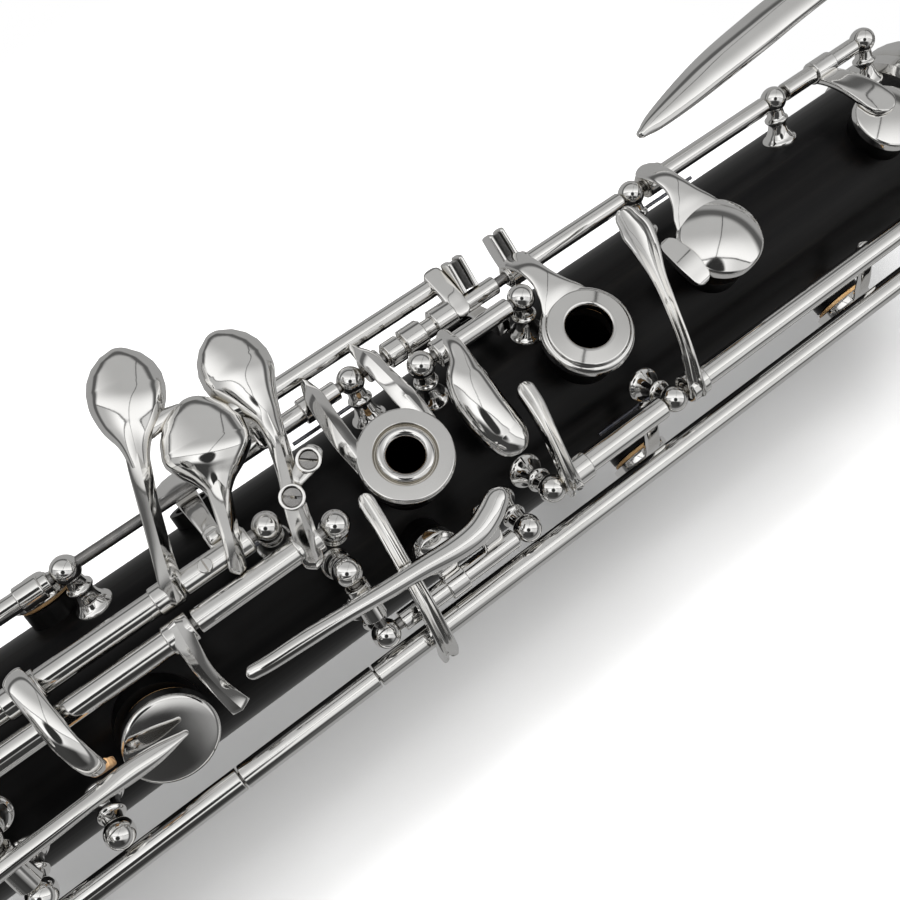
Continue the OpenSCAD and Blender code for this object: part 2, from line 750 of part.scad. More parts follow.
// Rocker whose cup stands at one end of a bar along the body
module rocker_key() {
  reach = rocker_half - ball_r - 0.35;
  color(silver) difference() {
    union() {
      across_rod(rocker_a, rocker_z, reach, reach, stout_tube_r);
      station(24, 0) translate([0, -25.4, 0]) rotate([90, 0, 0]) linear_extrude(1.8)
        strip([[0, 410, 2.2], [0, 420, 2], [0, 436, 1.6], [0, 453, 1.1]]);
      cup(24, 447, 8.6);
      on_seat(24, 447, 3.6) cylinder(r = 1.6, h = 2.4);
    }
    across_rod(rocker_a, rocker_z, reach + 2, reach + 2, tube_bore_r);
  }
}
module rocker_pad() { color(leather) pad(24, 447, 8.6); }

module side_cup_key() {
  color(silver) key_on(line_a, [[402.8, 445.4]]) {
    arm(-68, line_a, 442, 3.4, arm_r);
    cup(-72, 442, 5.3);
  }
}
module side_cup_pad() { color(leather) pad(-72, 442, 5.3); }

module upper_cup_key() {
  color(silver) key_on(line_a, [[608.7, 628.2]]) {
    arm(line_a, -22, 620, 4.4, arm_r);
    cup(-12, 620, 7);
  }
}
module upper_cup_pad() { color(leather) pad(-12, 620, 7); }

// ---------- cross levers and the long rod ----------

module cross_key() {
  color(silver) key_on(line_q, [[523.3, 545.8]], tube_r = stout_tube_r) {
    arm(-6, line_q, 524.6, 2.8, 27.3, 1.6);
    arm(line_q, 72, 544, 3, 23.4, 1.4);
    cup(78, 544, 5.8);
  }
}

module tall_lever_key() {
  color(silver) key_on(line_q, [[551.4, 620.7]], tube_r = stout_tube_r) {
    arm(-20, line_q, 555, 2.8, 27.5, 1.6);
    station(-24, 0) translate([0, -26.6, 0]) rotate([90, 0, 0]) linear_extrude(1.7)
      strip([[-4.4, 559.4, 3], [4.5, 555.6, 1.4]]);
    arm(line_q, 72, 600, 3, 23.4, 1.4);
    cup(78, 600, 5.8);
  }
}

// Small open cup whose lug stands under the upper end of the long touch
trill_open = 10;
module trill_key() {
  color(silver) key_on(line_t, [[486.8, 510.8]], trill_open) {
    arm(22, line_t, 507, 4, 25);
    web(21, 507, 4, 24.6, 28.4);
    cup(31, 498, 4.9);
    arm(34, line_t, 498, 3.4, arm_r);
  }
}

// Bar along the body at angle a, from z0 to z1 and from radius r0 to r1
module finger(a, z0, z1, r0, r1) {
  station(a, z0) translate([-1.6, -r1, 0]) cube([3.2, r1 - r0, z1 - z0]);
}

bridge_a = 66;
module long_rod_key() {
  open = -3;
  color(silver) key_on(line_s, [[277.8, 625.2]], open, line_s_r, stout_tube_r) {
    link(at(line_s_r, line_s), at(24.2, 80), 296, 8, 2.4);
    cup(88, 296, 13.4);
    swung(line_s, -open, line_s_r) {
      arm(-5, line_s, 490.8, 2.8, 28.9, 1.4);
      arm(line_s, bridge_a, 622.5, 4, 29, 1.8);
      finger(bridge_a, 620.5, 642, 28.1, 29.9);
    }
  }
}

// ---------- upper joint ----------

module lh_key(z, r, spans) {
  color(silver) key_on(lh_line, [spans], plate_open) {
    arm(lh_line, -12, z, 4.4, arm_r);
    cup(0, z, r, plate_hole);
  }
  color(leather) swung(lh_line, plate_open) pad(0, z, r, plate_hole);
}
module lh1_key() { lh_key(892, 8.2, [879.8, 905.2]); }
module lh2_key() { lh_key(862, 8.2, [836.8, 874.2]); }
module lh3_key() { lh_key(812, 9, [782.8, 831.2]); }

module throat_a_key() {
  color(silver) key_on(38, [[907.8, 947.2]]) {
    arm(38, 56, 922, 4, arm_r);
    cup(62, 922, 5.4);
    arm(18, 38, 912.5, 7, 25.6);
  }
}

module throat_g_sharp_key() {
  color(silver) key_on(6, [[916.8, 947.2]]) {
    arm(6, 16, 940, 4, arm_r);
    cup(19, 940, 5.4);
    arm(-16, 6, 921.5, 7, 25.6);
  }
}

module thumb_key() {
  color(silver) key_on(150, [[854.8, 885.2]], -5) {
    arm(150, 170, 870, 5, arm_r);
    cup(180, 870, 7.4);
  }
}

module register_key() {
  color(silver) key_on(212, [[858.8, 937.2]]) {
    arm(184, 212, 898, 8, 25.8);
    arm(212, 224, 925, 3.4, arm_r);
    cup(228, 925, 4.4);
  }
}

// Lever on the neck with a cup over its vent
module neck_vent_key() {
  color(silver) neck_vent_place() difference() {
    union() {
      translate([0, 0, 2.3]) cylinder(r = 4, h = 2.4);
      translate([-1.6, -2, 4.2]) cube([3.2, vent_hinge + 10, 1.6]);
      translate([-vent_half + 0.1, vent_hinge, vent_hinge_h]) rotate([0, 90, 0])
        cylinder(r = 1.9, h = 2 * vent_half - 0.2);
      translate([0, vent_hinge + 9, 4.2]) cylinder(r = 3.4, h = 1.6);
    }
    translate([-8, vent_hinge, vent_hinge_h]) rotate([0, 90, 0]) cylinder(r = tube_bore_r, h = 16);
  }
}

module left_lever_1() {
  open = -5;
  color(silver) key_on(line_s, [[653.8, 735.2]], open, line_s_r, stout_tube_r) {
    link(at(line_s_r, line_s), at(24.2, 76), 672, 5, 2.2);
    cup(82, 672, 7.6);
    swung(line_s, -open, line_s_r) {
      // bridge that lies over the end of the long rod's key
      web(line_s, 656, 4, 29, 32.3);
      arm(line_s, bridge_a, 656, 4, 31.4, 1.8);
      finger(bridge_a, 638, 658, 30.5, 32.3);
      station(72, 0) translate([0, -27.4, 0]) rotate([90, 0, 0]) linear_extrude(1.8)
        strip([[-8, 694, 2.2], [2, 700, 3], [10, 706, 5.6], [12, 711, 5.2]]);
    }
  }
}

module left_lever_2() {
  color(silver) key_on(line_q, [[658.8, 739.2]], tube_r = stout_tube_r) {
    arm(20, line_q, 690, 4.4, arm_r);
    cup(14, 690, 7.4);
    web(line_q, 729, 4, 26.5, 33.8);
    arm(line_q - 2, bridge_a, 729, 4, 32.9, 1.8);
    station(70, 0) translate([0, -31.8, 0]) rotate([90, 0, 0]) linear_extrude(1.8)
      strip([[-3, 728.6, 2.2], [6, 728, 3.4], [13, 729, 5.4], [15, 734, 5]]);
  }
}

// A side key: leaf shaped touch at one end, cup on the front at the other
module side_key(span, cup_z, leaf) {
  color(silver) key_on(line_c, [span], 0, line_c_r) {
    sheet_at(19, 1.6) strip(leaf);
    translate([-31.4, -20.6, span[0] + 1]) cube([5.4, 7.6, 4]);
    link(at(line_c_r, line_c), at(23.6, -48), cup_z, 4, 2);
    cup(-38, cup_z, 6.2);
  }
}
module side_key_1() {
  side_key([653.8, 739.2], 690, [[-28.4, 572.6, 1.6], [-31, 588, 3.6], [-32.6, 604, 4.3], [-33, 622, 3.4],
    [-30, 656, 2]]);
}
module side_key_2() {
  side_key([744.8, 789.2], 765, [[-37, 690, 1.6], [-36.4, 704, 3.4], [-35, 722, 3.4], [-30, 747, 2]]);
}

// ---------- nodes ----------

mouthpiece();
reed();
ligature_band();
ligature_screw(19);  // ligature_screw_upper
ligature_screw(5);  // ligature_screw_lower
neck();
upper_joint();
lower_joint();
joint_rings();
tenon_corks();
bell();
bell_socket();
peg_tube();
floor_peg();
peg_screw();
thumb_rest();
strap_ring();
lower_posts();
upper_posts();
lower_rods();
upper_rods();
needle_springs();
rh1_key();
rh1_pad();
rh2_key();
rh2_pad();
rh3_key();
rh3_pad();
stack_bridge();
sliver_key();
low_e_key();
low_e_pad();
low_f_key();
low_f_pad();
f_sharp_key();
g_sharp_key();
long_touch_key();
rocker_key();
rocker_pad();
side_cup_key();
side_cup_pad();
upper_cup_key();
upper_cup_pad();
cross_key();
tall_lever_key();
trill_key();
long_rod_key();
lh1_key();
lh2_key();
lh3_key();
throat_a_key();
throat_g_sharp_key();
thumb_key();
register_key();
neck_vent_key();
left_lever_1();
left_lever_2();
side_key_1();
side_key_2();
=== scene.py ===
"""The looks of the bass clarinet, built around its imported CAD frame.

Lengths in this script are in millimetres in the row frame and become metres when a mesh is made.
Angles are in degrees about the bore: 0 faces -Y, positive towards +X.
"""
import json
import math

import bmesh
import bpy
from mathutils import Matrix, Vector


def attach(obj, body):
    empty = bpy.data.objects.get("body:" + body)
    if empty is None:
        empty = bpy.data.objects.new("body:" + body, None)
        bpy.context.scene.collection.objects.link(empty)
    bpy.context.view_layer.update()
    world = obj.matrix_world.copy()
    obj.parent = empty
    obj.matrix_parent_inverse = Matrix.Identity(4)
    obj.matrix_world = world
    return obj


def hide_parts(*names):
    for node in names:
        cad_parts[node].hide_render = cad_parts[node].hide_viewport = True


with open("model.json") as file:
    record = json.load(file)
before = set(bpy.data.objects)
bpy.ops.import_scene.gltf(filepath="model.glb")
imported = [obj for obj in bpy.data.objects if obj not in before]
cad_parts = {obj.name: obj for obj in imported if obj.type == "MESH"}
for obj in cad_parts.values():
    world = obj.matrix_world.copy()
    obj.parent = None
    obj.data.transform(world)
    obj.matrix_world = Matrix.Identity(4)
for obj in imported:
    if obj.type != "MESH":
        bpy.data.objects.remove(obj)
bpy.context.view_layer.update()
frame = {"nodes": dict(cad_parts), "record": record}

MM = 0.001
ROOT = "clarinet_body"

# Radii from the bore's axis: the wooden joints, the seats of the pads, and most hinge lines
BODY_R = 17.5
SEAT_R = 20.2
HINGE_R = 25.9

# Radii of the steel rods, the thin and stout hinge tubes on them, and the balls of the posts
ROD_R = 1.0
THIN_R = 1.75
STOUT_R = 2.1
BALL_R = 2.5

# Foot of the lower joint, and the angle, radius and heights of the right hand's plates
LOWER_Z = 262
PLATE_A = -9
PLATE_R = 8.3
RH1_Z = 573.4
RH2_Z = 541.6
RH3_Z = 502.3

# Hinge lines: angle about the bore and distance from it
LINE_A = (-53, HINGE_R)
LINE_B = (-37, HINGE_R)
LINE_M1 = (-17.5, HINGE_R)
LINE_M2 = (-4, HINGE_R)
LINE_Q = (34, HINGE_R)
LINE_T = (43, HINGE_R)
LINE_S = (54, 28.0)
LINE_C = (-63, 30.0)
LINE_LH = (-48, HINGE_R)
LINE_THROAT_A = (38, HINGE_R)
LINE_THROAT_G = (6, HINGE_R)
LINE_THUMB = (150, HINGE_R)
LINE_REGISTER = (212, HINGE_R)

# The camera: its place in metres, how far it looks up, how far it is rolled, and its lens in millimetres
CAMERA_AT = (-0.00096, -0.18495, 0.46925)
CAMERA_LIFT = math.radians(13.895)
CAMERA_ROLL = math.radians(35.196)
CAMERA_LENS = 40
CAMERA_SENSOR = 36

# The white card, in metres: its middle, its half width, and how far out it starts and ends to fade
CARD_AT = (0.02, 0.052, 0.52)
CARD_HALF = 0.19
CARD_FADE = (0.11, 0.16)

# The point the lights face, in metres, and the floor's half width and thickness in millimetres
LIT_POINT = (0, 0, 0.52)
FLOOR_HALF = 2500
FLOOR_THICKNESS = 5


# ---------- places ----------

def polar(r, a, z=0.0):
    """The point at distance r and angle a about the bore, at height z."""
    return Vector((r * math.sin(math.radians(a)), -r * math.cos(math.radians(a)), z))


def outward(p):
    """Unit vector away from the bore at p."""
    return Vector((p[0], p[1], 0)).normalized()


def seat(a, z, h=0.0):
    """Frame on a tone hole's seat: local Z leaves the bore, local X runs round it, local Y up it."""
    s, c = math.sin(math.radians(a)), math.cos(math.radians(a))
    o = polar(SEAT_R + h, a, z)
    return Matrix(((c, 0, s, o.x), (s, 0, -c, o.y), (0, 1, 0, o.z), (0, 0, 0, 1)))


def along(origin, axis):
    """Frame at origin whose local Z runs along axis."""
    z = Vector(axis).normalized()
    x = Vector((0, 0, 1)).cross(z)
    if x.length < 1e-6:
        x = Vector((1, 0, 0))
    x.normalize()
    y = z.cross(x)
    o = Vector(origin)
    return Matrix(((x.x, y.x, z.x, o.x), (x.y, y.y, z.y, o.y), (x.z, y.z, z.z, o.z), (0, 0, 0, 1)))


def swung(line, turn):
    """The turn by an angle about a hinge line."""
    o = polar(line[1], line[0])
    return Matrix.Translation(o) @ Matrix.Rotation(math.radians(turn), 4, "Z") @ Matrix.Translation(-o)


def spline(rows, per):
    """Points on a smooth curve through rows of numbers, per steps between each two."""
    out = []
    for i in range(len(rows) - 1):
        p1, p2 = rows[i], rows[i + 1]
        p0 = rows[i - 1] if i else [2 * a - b for a, b in zip(p1, p2)]
        p3 = rows[i + 2] if i + 2 < len(rows) else [2 * b - a for a, b in zip(p1, p2)]
        for k in range(per):
            t = k / per
            out.append([0.5 * (2 * b + (c - a) * t + (2 * a - 5 * b + 4 * c - d) * t * t
                               + (3 * b - a - 3 * c + d) * t ** 3) for a, b, c, d in zip(p0, p1, p2, p3)])
    out.append(list(rows[-1]))
    return out


def rounded(profile, radius=0.25, steps=3, closed=False):
    """The profile with its corners turned into small arcs."""
    n = len(profile)
    out = []
    for i, p in enumerate(profile):
        if not closed and i in (0, n - 1):
            out.append(p)
            continue
        p = Vector(p)
        a, b = Vector(profile[i - 1]) - p, Vector(profile[(i + 1) % n]) - p
        r = min(radius, a.length * 0.45, b.length * 0.45)
        if r < 1e-4 or a.normalized().dot(b.normalized()) < -0.985:
            out.append(tuple(p))
            continue
        start, end = p + a.normalized() * r, p + b.normalized() * r
        for k in range(steps + 1):
            t = k / steps
            out.append(tuple(start * (1 - t) ** 2 + p * 2 * t * (1 - t) + end * t * t))
    return out


# ---------- cross sections: points (u, v) with u across and v outward, both from -1 to 1 ----------

def section(top, bottom, n=14):
    us = [math.cos(math.pi * i / n) for i in range(n + 1)]
    return [(u, top(u)) for u in us] + [(u, bottom(u)) for u in reversed(us[1:-1])]


def swell(u, p):
    return max(0.0, 1 - abs(u) ** p) ** (1 / p)


OVAL = section(lambda u: swell(u, 2.2), lambda u: -swell(u, 2.2))
BAR = section(lambda u: swell(u, 5), lambda u: -swell(u, 5), 18)
DOME = section(lambda u: swell(u, 2.0), lambda u: -0.35 * swell(u, 4), 26)
RIDGE = section(lambda u: (1 - abs(u)) * 0.85 + 0.15 * swell(u, 2), lambda u: -0.6 * swell(u, 5), 18)
COIN = section(lambda u: min(1.0, 2.6 * swell(u, 2.4)), lambda u: -swell(u, 4), 22)
GUTTER = section(lambda u: swell(u, 6) * (1 - 0.75 * max(0.0, 1 - (u / 0.72) ** 2)),
                 lambda u: -swell(u, 4), 22)
LEAF = section(lambda u: swell(u, 2.0) * 0.85 + 0.15 * (1 - abs(u)), lambda u: -0.25 * swell(u, 4), 26)


# ---------- mesh builder ----------

class Build:
    """Closed shells that become one mesh object."""

    def __init__(self):
        self.bm = bmesh.new()

    def skin(self, rings, close_ends=True, loop=False):
        """Joins rings of points of equal length into a shell; an end may be a single point."""
        rows = [[self.bm.verts.new(p) for p in ring] for ring in rings]
        pairs = list(zip(rows, rows[1:])) + ([(rows[-1], rows[0])] if loop else [])
        for a, b in pairs:
            if len(a) == 1 and len(b) == 1:
                continue
            m = max(len(a), len(b))
            for i in range(m):
                j = (i + 1) % m
                quad = [a[i % len(a)], a[j % len(a)], b[j % len(b)], b[i % len(b)]]
                face = [v for k, v in enumerate(quad) if v not in quad[:k]]
                if len(face) > 2:
                    self.bm.faces.new(face)
        if close_ends and not loop:
            for row in (rows[0], rows[-1]):
                if len(row) > 2:
                    self.bm.faces.new(row)

    def lathe(self, at, profile, seg=48, loop=False):
        """Turns (radius, height) points about the local Z of the frame at."""
        angles = [2 * math.pi * i / seg for i in range(seg)]
        rings = []
        for r, h in profile:
            if r < 1e-5:
                rings.append([at @ Vector((0, 0, h))])
            else:
                rings.append([at @ Vector((r * math.cos(a), r * math.sin(a), h)) for a in angles])
        self.skin(rings, loop=loop)

    def tube(self, start, end, r_out, r_in=0.0, edge=0.2, seg=40):
        """A round bar or tube between two points."""
        start, end = Vector(start), Vector(end)
        h = (end - start).length
        at = along(start, end - start)
        wall = rounded([(r_in, 0), (r_out, 0), (r_out, h), (r_in, h)], edge, closed=r_in > 0)
        self.lathe(at, wall, seg, loop=r_in > 0)

    def sweep(self, rows, shape=OVAL, up=None, per=8, caps=(1, 1), turn=None):
        """Draws a section along rows of (x, y, z, half width, half thickness), with rounded ends."""
        rows = spline(rows, per)
        pts = [Vector(r[:3]) for r in rows]
        last = len(rows) - 1
        frames = []
        for i, row in enumerate(rows):
            t = (pts[min(i + 1, last)] - pts[max(i - 1, 0)]).normalized()
            out = Vector(up) if up is not None else outward(pts[i])
            side = t.cross(out).normalized()
            out = side.cross(t).normalized()
            frames.append((pts[i], t, side, out, row[3], row[4]))

        def ring(f, shift=0.0, sw=1.0, st=1.0):
            p, t, side, out, hw, ht = f
            c = p + t * shift
            return [c + side * (u * hw * sw) + out * (v * ht * st) for u, v in shape]

        rings = []
        for end, f, sign in ((0, frames[0], -1), (1, frames[-1], 1)):
            dome = []
            steps = 5
            for k in range(1, steps):
                phi = math.pi / 2 * k / steps
                dome.append(ring(f, sign * f[4] * caps[end] * math.sin(phi), math.cos(phi),
                                 math.cos(phi) ** 0.45))
            tip = [[f[0] + f[1] * (sign * f[4] * caps[end])]]
            if not caps[end]:
                dome, tip = [], []
            if end == 0:
                rings = tip + dome[::-1] + [ring(g) for g in frames]
            else:
                rings = rings + dome + tip
        if turn is not None:
            rings = [[turn @ p for p in r] for r in rings]
        self.skin(rings)

    def slotted(self, at, r, h, slot=0.34):
        """A screw head on the local Z of at, with a slot cut deep into it."""
        self.lathe(at, rounded([(0, 0), (r, 0), (r, h * 0.3), (0, h * 0.3)], 0.08), 32)
        half = math.asin(slot / 2 / r)
        for s in (0, math.pi):
            arc = [half + s + (math.pi - 2 * half) * i / 16 for i in range(17)]
            low = [at @ Vector((r * math.cos(a), r * math.sin(a), h * 0.25)) for a in arc]
            mid = [at @ Vector((r * math.cos(a), r * math.sin(a), h - 0.12)) for a in arc]
            top = [at @ Vector(((r - 0.14) * math.cos(a), (r - 0.14) * math.sin(a), h)) for a in arc]
            self.skin([low, mid, top])

    def done(self, name, body, material, replaces=(), turn=None):
        """Makes the object, riding on its body."""
        if turn is not None:
            self.bm.transform(turn)
        self.bm.transform(Matrix.Scale(MM, 4))
        bmesh.ops.recalc_face_normals(self.bm, faces=self.bm.faces)
        mesh = bpy.data.meshes.new(name)
        self.bm.to_mesh(mesh)
        self.bm.free()
        for poly in mesh.polygons:
            poly.use_smooth = True
        mesh.materials.append(material)
        obj = bpy.data.objects.new(name, mesh)
        bpy.context.scene.collection.objects.link(obj)
        mesh.set_sharp_from_angle(angle=math.radians(50))
        normals = obj.modifiers.new("even_normals", "WEIGHTED_NORMAL")
        normals.keep_sharp = True
        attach(obj, body)
        if replaces:
            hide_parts(*replaces)
        return obj


# ---------- materials ----------

class Tree:
    """Shorthands for a node tree."""

    def __init__(self, tree):
        self.tree = tree

    def add(self, kind, **values):
        node = self.tree.nodes.new(kind)
        for key, value in values.items():
            setattr(node, key, value)
        return node

    def link(self, a, b):
        self.tree.links.new(a, b)

    def feed(self, socket, value):
        """Sets a socket to a value, or links another socket to it."""
        if isinstance(value, bpy.types.NodeSocket):
            self.link(value, socket)
        else:
            socket.default_value = value

    def spread(self, value, low, high, start=0.0, end=1.0, kind="LINEAR"):
        """Goes from start to end as value goes from low to high."""
        node = self.add("ShaderNodeMapRange", interpolation_type=kind)
        names = ("Value", "From Min", "From Max", "To Min", "To Max")
        for name, number in zip(names, (value, low, high, start, end)):
            self.feed(node.inputs[name], number)
        return node.outputs["Result"]


class Nodes(Tree):
    """A new material."""

    def __init__(self, name):
        self.mat = bpy.data.materials.new(name)
        self.mat.use_nodes = True
        super().__init__(self.mat.node_tree)
        self.bsdf = self.tree.nodes["Principled BSDF"]
        self.coords = self.add("ShaderNodeTexCoord").outputs["Object"]

    def noise(self, scale, detail=3.0, stretch=(1, 1, 1), rough=0.5):
        mapping = self.add("ShaderNodeMapping")
        mapping.inputs["Scale"].default_value = stretch
        self.link(self.coords, mapping.inputs["Vector"])
        node = self.add("ShaderNodeTexNoise")
        node.inputs["Scale"].default_value = scale
        node.inputs["Detail"].default_value = detail
        node.inputs["Roughness"].default_value = rough
        self.link(mapping.outputs["Vector"], node.inputs["Vector"])
        return node.outputs["Fac"]

    def ramp(self, fac, stops):
        node = self.add("ShaderNodeValToRGB")
        ramp = node.color_ramp
        while len(ramp.elements) < len(stops):
            ramp.elements.new(0.5)
        for e, (pos, color) in zip(ramp.elements, stops):
            e.position = pos
            e.color = (*color, 1) if len(color) == 3 else color
        self.link(fac, node.inputs["Fac"])
        return node.outputs["Color"]

    def mix(self, fac, a, b, blend="MIX"):
        node = self.add("ShaderNodeMix", data_type="RGBA", blend_type=blend)
        for socket, value in ((0, fac), (6, a), (7, b)):
            self.feed(node.inputs[socket], value)
        return node.outputs[2]

    def bump(self, height, strength, distance, normal=None):
        node = self.add("ShaderNodeBump")
        node.inputs["Strength"].default_value = strength
        node.inputs["Distance"].default_value = distance
        self.link(height, node.inputs["Height"])
        if normal is not None:
            self.link(normal, node.inputs["Normal"])
        return node.outputs["Normal"]

    def set(self, **values):
        for key, value in values.items():
            self.feed(self.bsdf.inputs[key.replace("_", " ")], value)
        return self.mat

    def roughness(self, fac, low, high):
        self.set(Roughness=self.spread(fac, 0.0, 1.0, low, high))


def silver_plate():
    n = Nodes("silver_plate")
    cloud = n.noise(90, 4)
    color = n.ramp(cloud, [(0.3, (0.86, 0.855, 0.84)), (0.7, (0.95, 0.945, 0.935))])
    # painted shade: an ambient occlusion node darkens the plate's colour towards brown in recesses and
    # between parts
    recess = n.add("ShaderNodeAmbientOcclusion", samples=4)
    recess.inputs["Distance"].default_value = 0.0035
    painted_recess_shade = n.ramp(recess.outputs["AO"], [(0.1, (0.42, 0.38, 0.3)), (0.62, (1, 1, 1))])
    shade = n.mix(0.85, color, painted_recess_shade, "MULTIPLY")
    n.roughness(n.noise(260, 5), 0.035, 0.11)
    hand = n.bump(n.noise(110, 2), 0.16, 0.00035)
    fine = n.bump(n.noise(2600, 3, (1, 1, 0.2)), 0.02, 0.00005, hand)
    return n.set(Base_Color=shade, Metallic=1.0, Normal=fine)


def ground_steel():
    n = Nodes("ground_steel")
    turned = n.noise(3000, 3, (1, 1, 0.02))
    n.roughness(turned, 0.16, 0.34)
    color = n.ramp(n.noise(400, 3), [(0.3, (0.26, 0.26, 0.26)), (0.7, (0.4, 0.39, 0.38))])
    return n.set(Base_Color=color, Metallic=1.0, Normal=n.bump(turned, 0.1, 0.00004))


def blued_steel():
    n = Nodes("blued_steel")
    n.roughness(n.noise(900, 3), 0.2, 0.35)
    color = n.ramp(n.noise(300, 2), [(0.35, (0.1, 0.11, 0.14)), (0.65, (0.2, 0.2, 0.22))])
    return n.set(Base_Color=color, Metallic=1.0)


def black_wood():
    n = Nodes("black_wood")
    grain = n.noise(420, 6, (1, 1, 0.035), 0.6)
    color = n.ramp(grain, [(0.35, (0.0012, 0.0012, 0.0014)), (0.62, (0.003, 0.0028, 0.0028)),
                           (0.8, (0.008, 0.007, 0.006))])
    n.roughness(n.noise(700, 4, (1, 1, 0.06)), 0.24, 0.42)
    pores = n.bump(n.noise(1500, 4, (1, 1, 0.03)), 0.12, 0.00006)
    return n.set(Base_Color=color, Specular_IOR_Level=0.16, Normal=pores)


def hard_rubber():
    n = Nodes("hard_rubber")
    n.roughness(n.noise(500, 4), 0.1, 0.2)
    color = n.ramp(n.noise(60, 3), [(0.3, (0.006, 0.006, 0.007)), (0.7, (0.014, 0.013, 0.012))])
    return n.set(Base_Color=color, Normal=n.bump(n.noise(1800, 3), 0.03, 0.00005))


def pad_leather():
    n = Nodes("pad_leather")
    color = n.ramp(n.noise(320, 6), [(0.25, (0.3, 0.17, 0.07)), (0.55, (0.5, 0.31, 0.14)),
                                     (0.8, (0.62, 0.42, 0.22))])
    cells = n.add("ShaderNodeTexVoronoi")
    cells.inputs["Scale"].default_value = 2200
    n.link(n.coords, cells.inputs["Vector"])
    n.roughness(n.noise(900, 3), 0.55, 0.8)
    return n.set(Base_Color=color, Normal=n.bump(cells.outputs["Distance"], 0.3, 0.00012))


def cork():
    n = Nodes("cork")
    cells = n.add("ShaderNodeTexVoronoi")
    cells.inputs["Scale"].default_value = 1100
    n.link(n.coords, cells.inputs["Vector"])
    tone = n.ramp(cells.outputs["Color"], [(0.2, (0.36, 0.2, 0.09)), (0.8, (0.55, 0.35, 0.18))])
    specks = n.ramp(n.noise(700, 2), [(0.6, (0, 0, 0)), (0.68, (1, 1, 1))])
    color = n.mix(specks, tone, (0.12, 0.06, 0.03, 1))
    n.roughness(n.noise(800, 2), 0.75, 0.95)
    return n.set(Base_Color=color, Normal=n.bump(cells.outputs["Distance"], 0.5, 0.0002))


def felt():
    n = Nodes("felt")
    fibres = n.noise(2400, 8, rough=0.7)
    color = n.ramp(fibres, [(0.3, (0.006, 0.006, 0.006)), (0.8, (0.04, 0.038, 0.036))])
    n.roughness(fibres, 0.9, 1.0)
    return n.set(Base_Color=color, Sheen_Weight=0.3, Normal=n.bump(fibres, 0.8, 0.0002))


def cane():
    n = Nodes("cane")
    fibres = n.noise(1500, 5, (1, 0.03, 1))
    color = n.ramp(fibres, [(0.3, (0.62, 0.48, 0.24)), (0.7, (0.78, 0.66, 0.42))])
    n.roughness(fibres, 0.4, 0.6)
    return n.set(Base_Color=color, Normal=n.bump(fibres, 0.2, 0.00008))


def floor_paint():
    n = Nodes("pale_floor")
    color = n.ramp(n.noise(6, 3), [(0.3, (0.84, 0.84, 0.84)), (0.7, (0.88, 0.88, 0.88))])
    n.roughness(n.noise(30, 3), 0.6, 0.8)
    return n.set(Base_Color=color)


SILVER = silver_plate()
STEEL = ground_steel()
BLUE = blued_steel()
WOOD = black_wood()
EBONITE = hard_rubber()
PAD = pad_leather()
CORK = cork()
FELT = felt()
CANE = cane()
LOOKS = {"plated": SILVER, "steel": STEEL, "spring_steel": BLUE, "black_wood": WOOD, "ebonite": EBONITE,
         "pad_skin": PAD, "cork": CORK, "cane": CANE}


def dress_cad_nodes():
    slots = {s["node"]: s["material_slot"] for s in frame["record"]["subparts"]}
    for name, obj in frame["nodes"].items():
        obj.data.materials.clear()
        obj.data.materials.append(LOOKS[slots[name]])


# ---------- parts that many keys share ----------

def hinge_tubes(b, line, spans, r=THIN_R):
    for low, high in spans:
        b.tube(polar(line[1], line[0], low), polar(line[1], line[0], high), r, ROD_R + 0.04)


def collar(b, line, z, half, r, seg=40):
    """A short stout ring on a hinge line."""
    at = along(polar(line[1], line[0], z - half), (0, 0, 1))
    hole = 1.3
    b.lathe(at, rounded([(hole, 0), (r, 0), (r, 2 * half), (hole, 2 * half)], 0.3, closed=True), seg, True)


def arc_arm(b, a0, a1, z0, z1, w0, w1, r, t=0.9, shape=BAR, turn=None):
    """An arm that follows the body from angle a0, width w0, to angle a1, width w1."""
    rows = []
    for i in range(6):
        k = i / 5
        ease = k * k * (3 - 2 * k)
        p = polar(r, a0 + (a1 - a0) * k, z0 + (z1 - z0) * ease)
        rows.append((*p, w0 + (w1 - w0) * ease, t))
    b.sweep(rows, shape, per=5, turn=turn)


def key_cup(b, a, z, r, hole=0.0, dome=3.3):
    """A domed or ringed cup over its pad."""
    at = seat(a, z, 0.9)
    rim = [(r - 0.55, 0), (r, 0.1), (r, 1.5)]
    if hole:
        top = [(r - 0.5, 2.35), (r - 1.1, 2.75), (hole + 0.5, 2.95), (hole, 2.6), (hole, 1.2)]
        b.lathe(at, rounded([(r - 0.55, 1.2)] + rim + top, 0.3, closed=True), 72, True)
    else:
        shoulder = 1.75
        crown = [(r * t, shoulder + (dome - shoulder) * (1 - t * t))
                 for t in (0.975, 0.93, 0.85, 0.72, 0.56, 0.38, 0.18)]
        b.lathe(at, rounded([(0, 1.2), (r - 0.55, 1.2)] + rim, 0.15) + crown + [(0, dome)], 72)


def cup_piece(name, body, a, z, r, hole=0.0, dome=3.3, turn=None):
    """A cup that is a piece of its own."""
    b = Build()
    key_cup(b, a, z, r, hole, dome)
    b.done(name, body, SILVER, turn=turn)


def pad_piece(name, body, a, z, r, hole=0.0, replaces=(), turn=None):
    """A leather pad with its rounded rim, and a hole where the finger closes it."""
    b = Build()
    at = seat(a, z, 0.1)
    edge = r - 0.75
    if hole:
        b.lathe(at, rounded([(hole, 0), (edge, 0), (edge, 2.1), (hole, 2.1)], 0.6, closed=True), 64, True)
    else:
        outline = [(0, 0.15), (edge - 1.4, 0.15), (edge - 0.9, 0), (edge, 0.2), (edge, 2.0), (0, 2.1)]
        b.lathe(at, rounded(outline, 0.5), 64)
    b.done(name, body, PAD, replaces, turn)


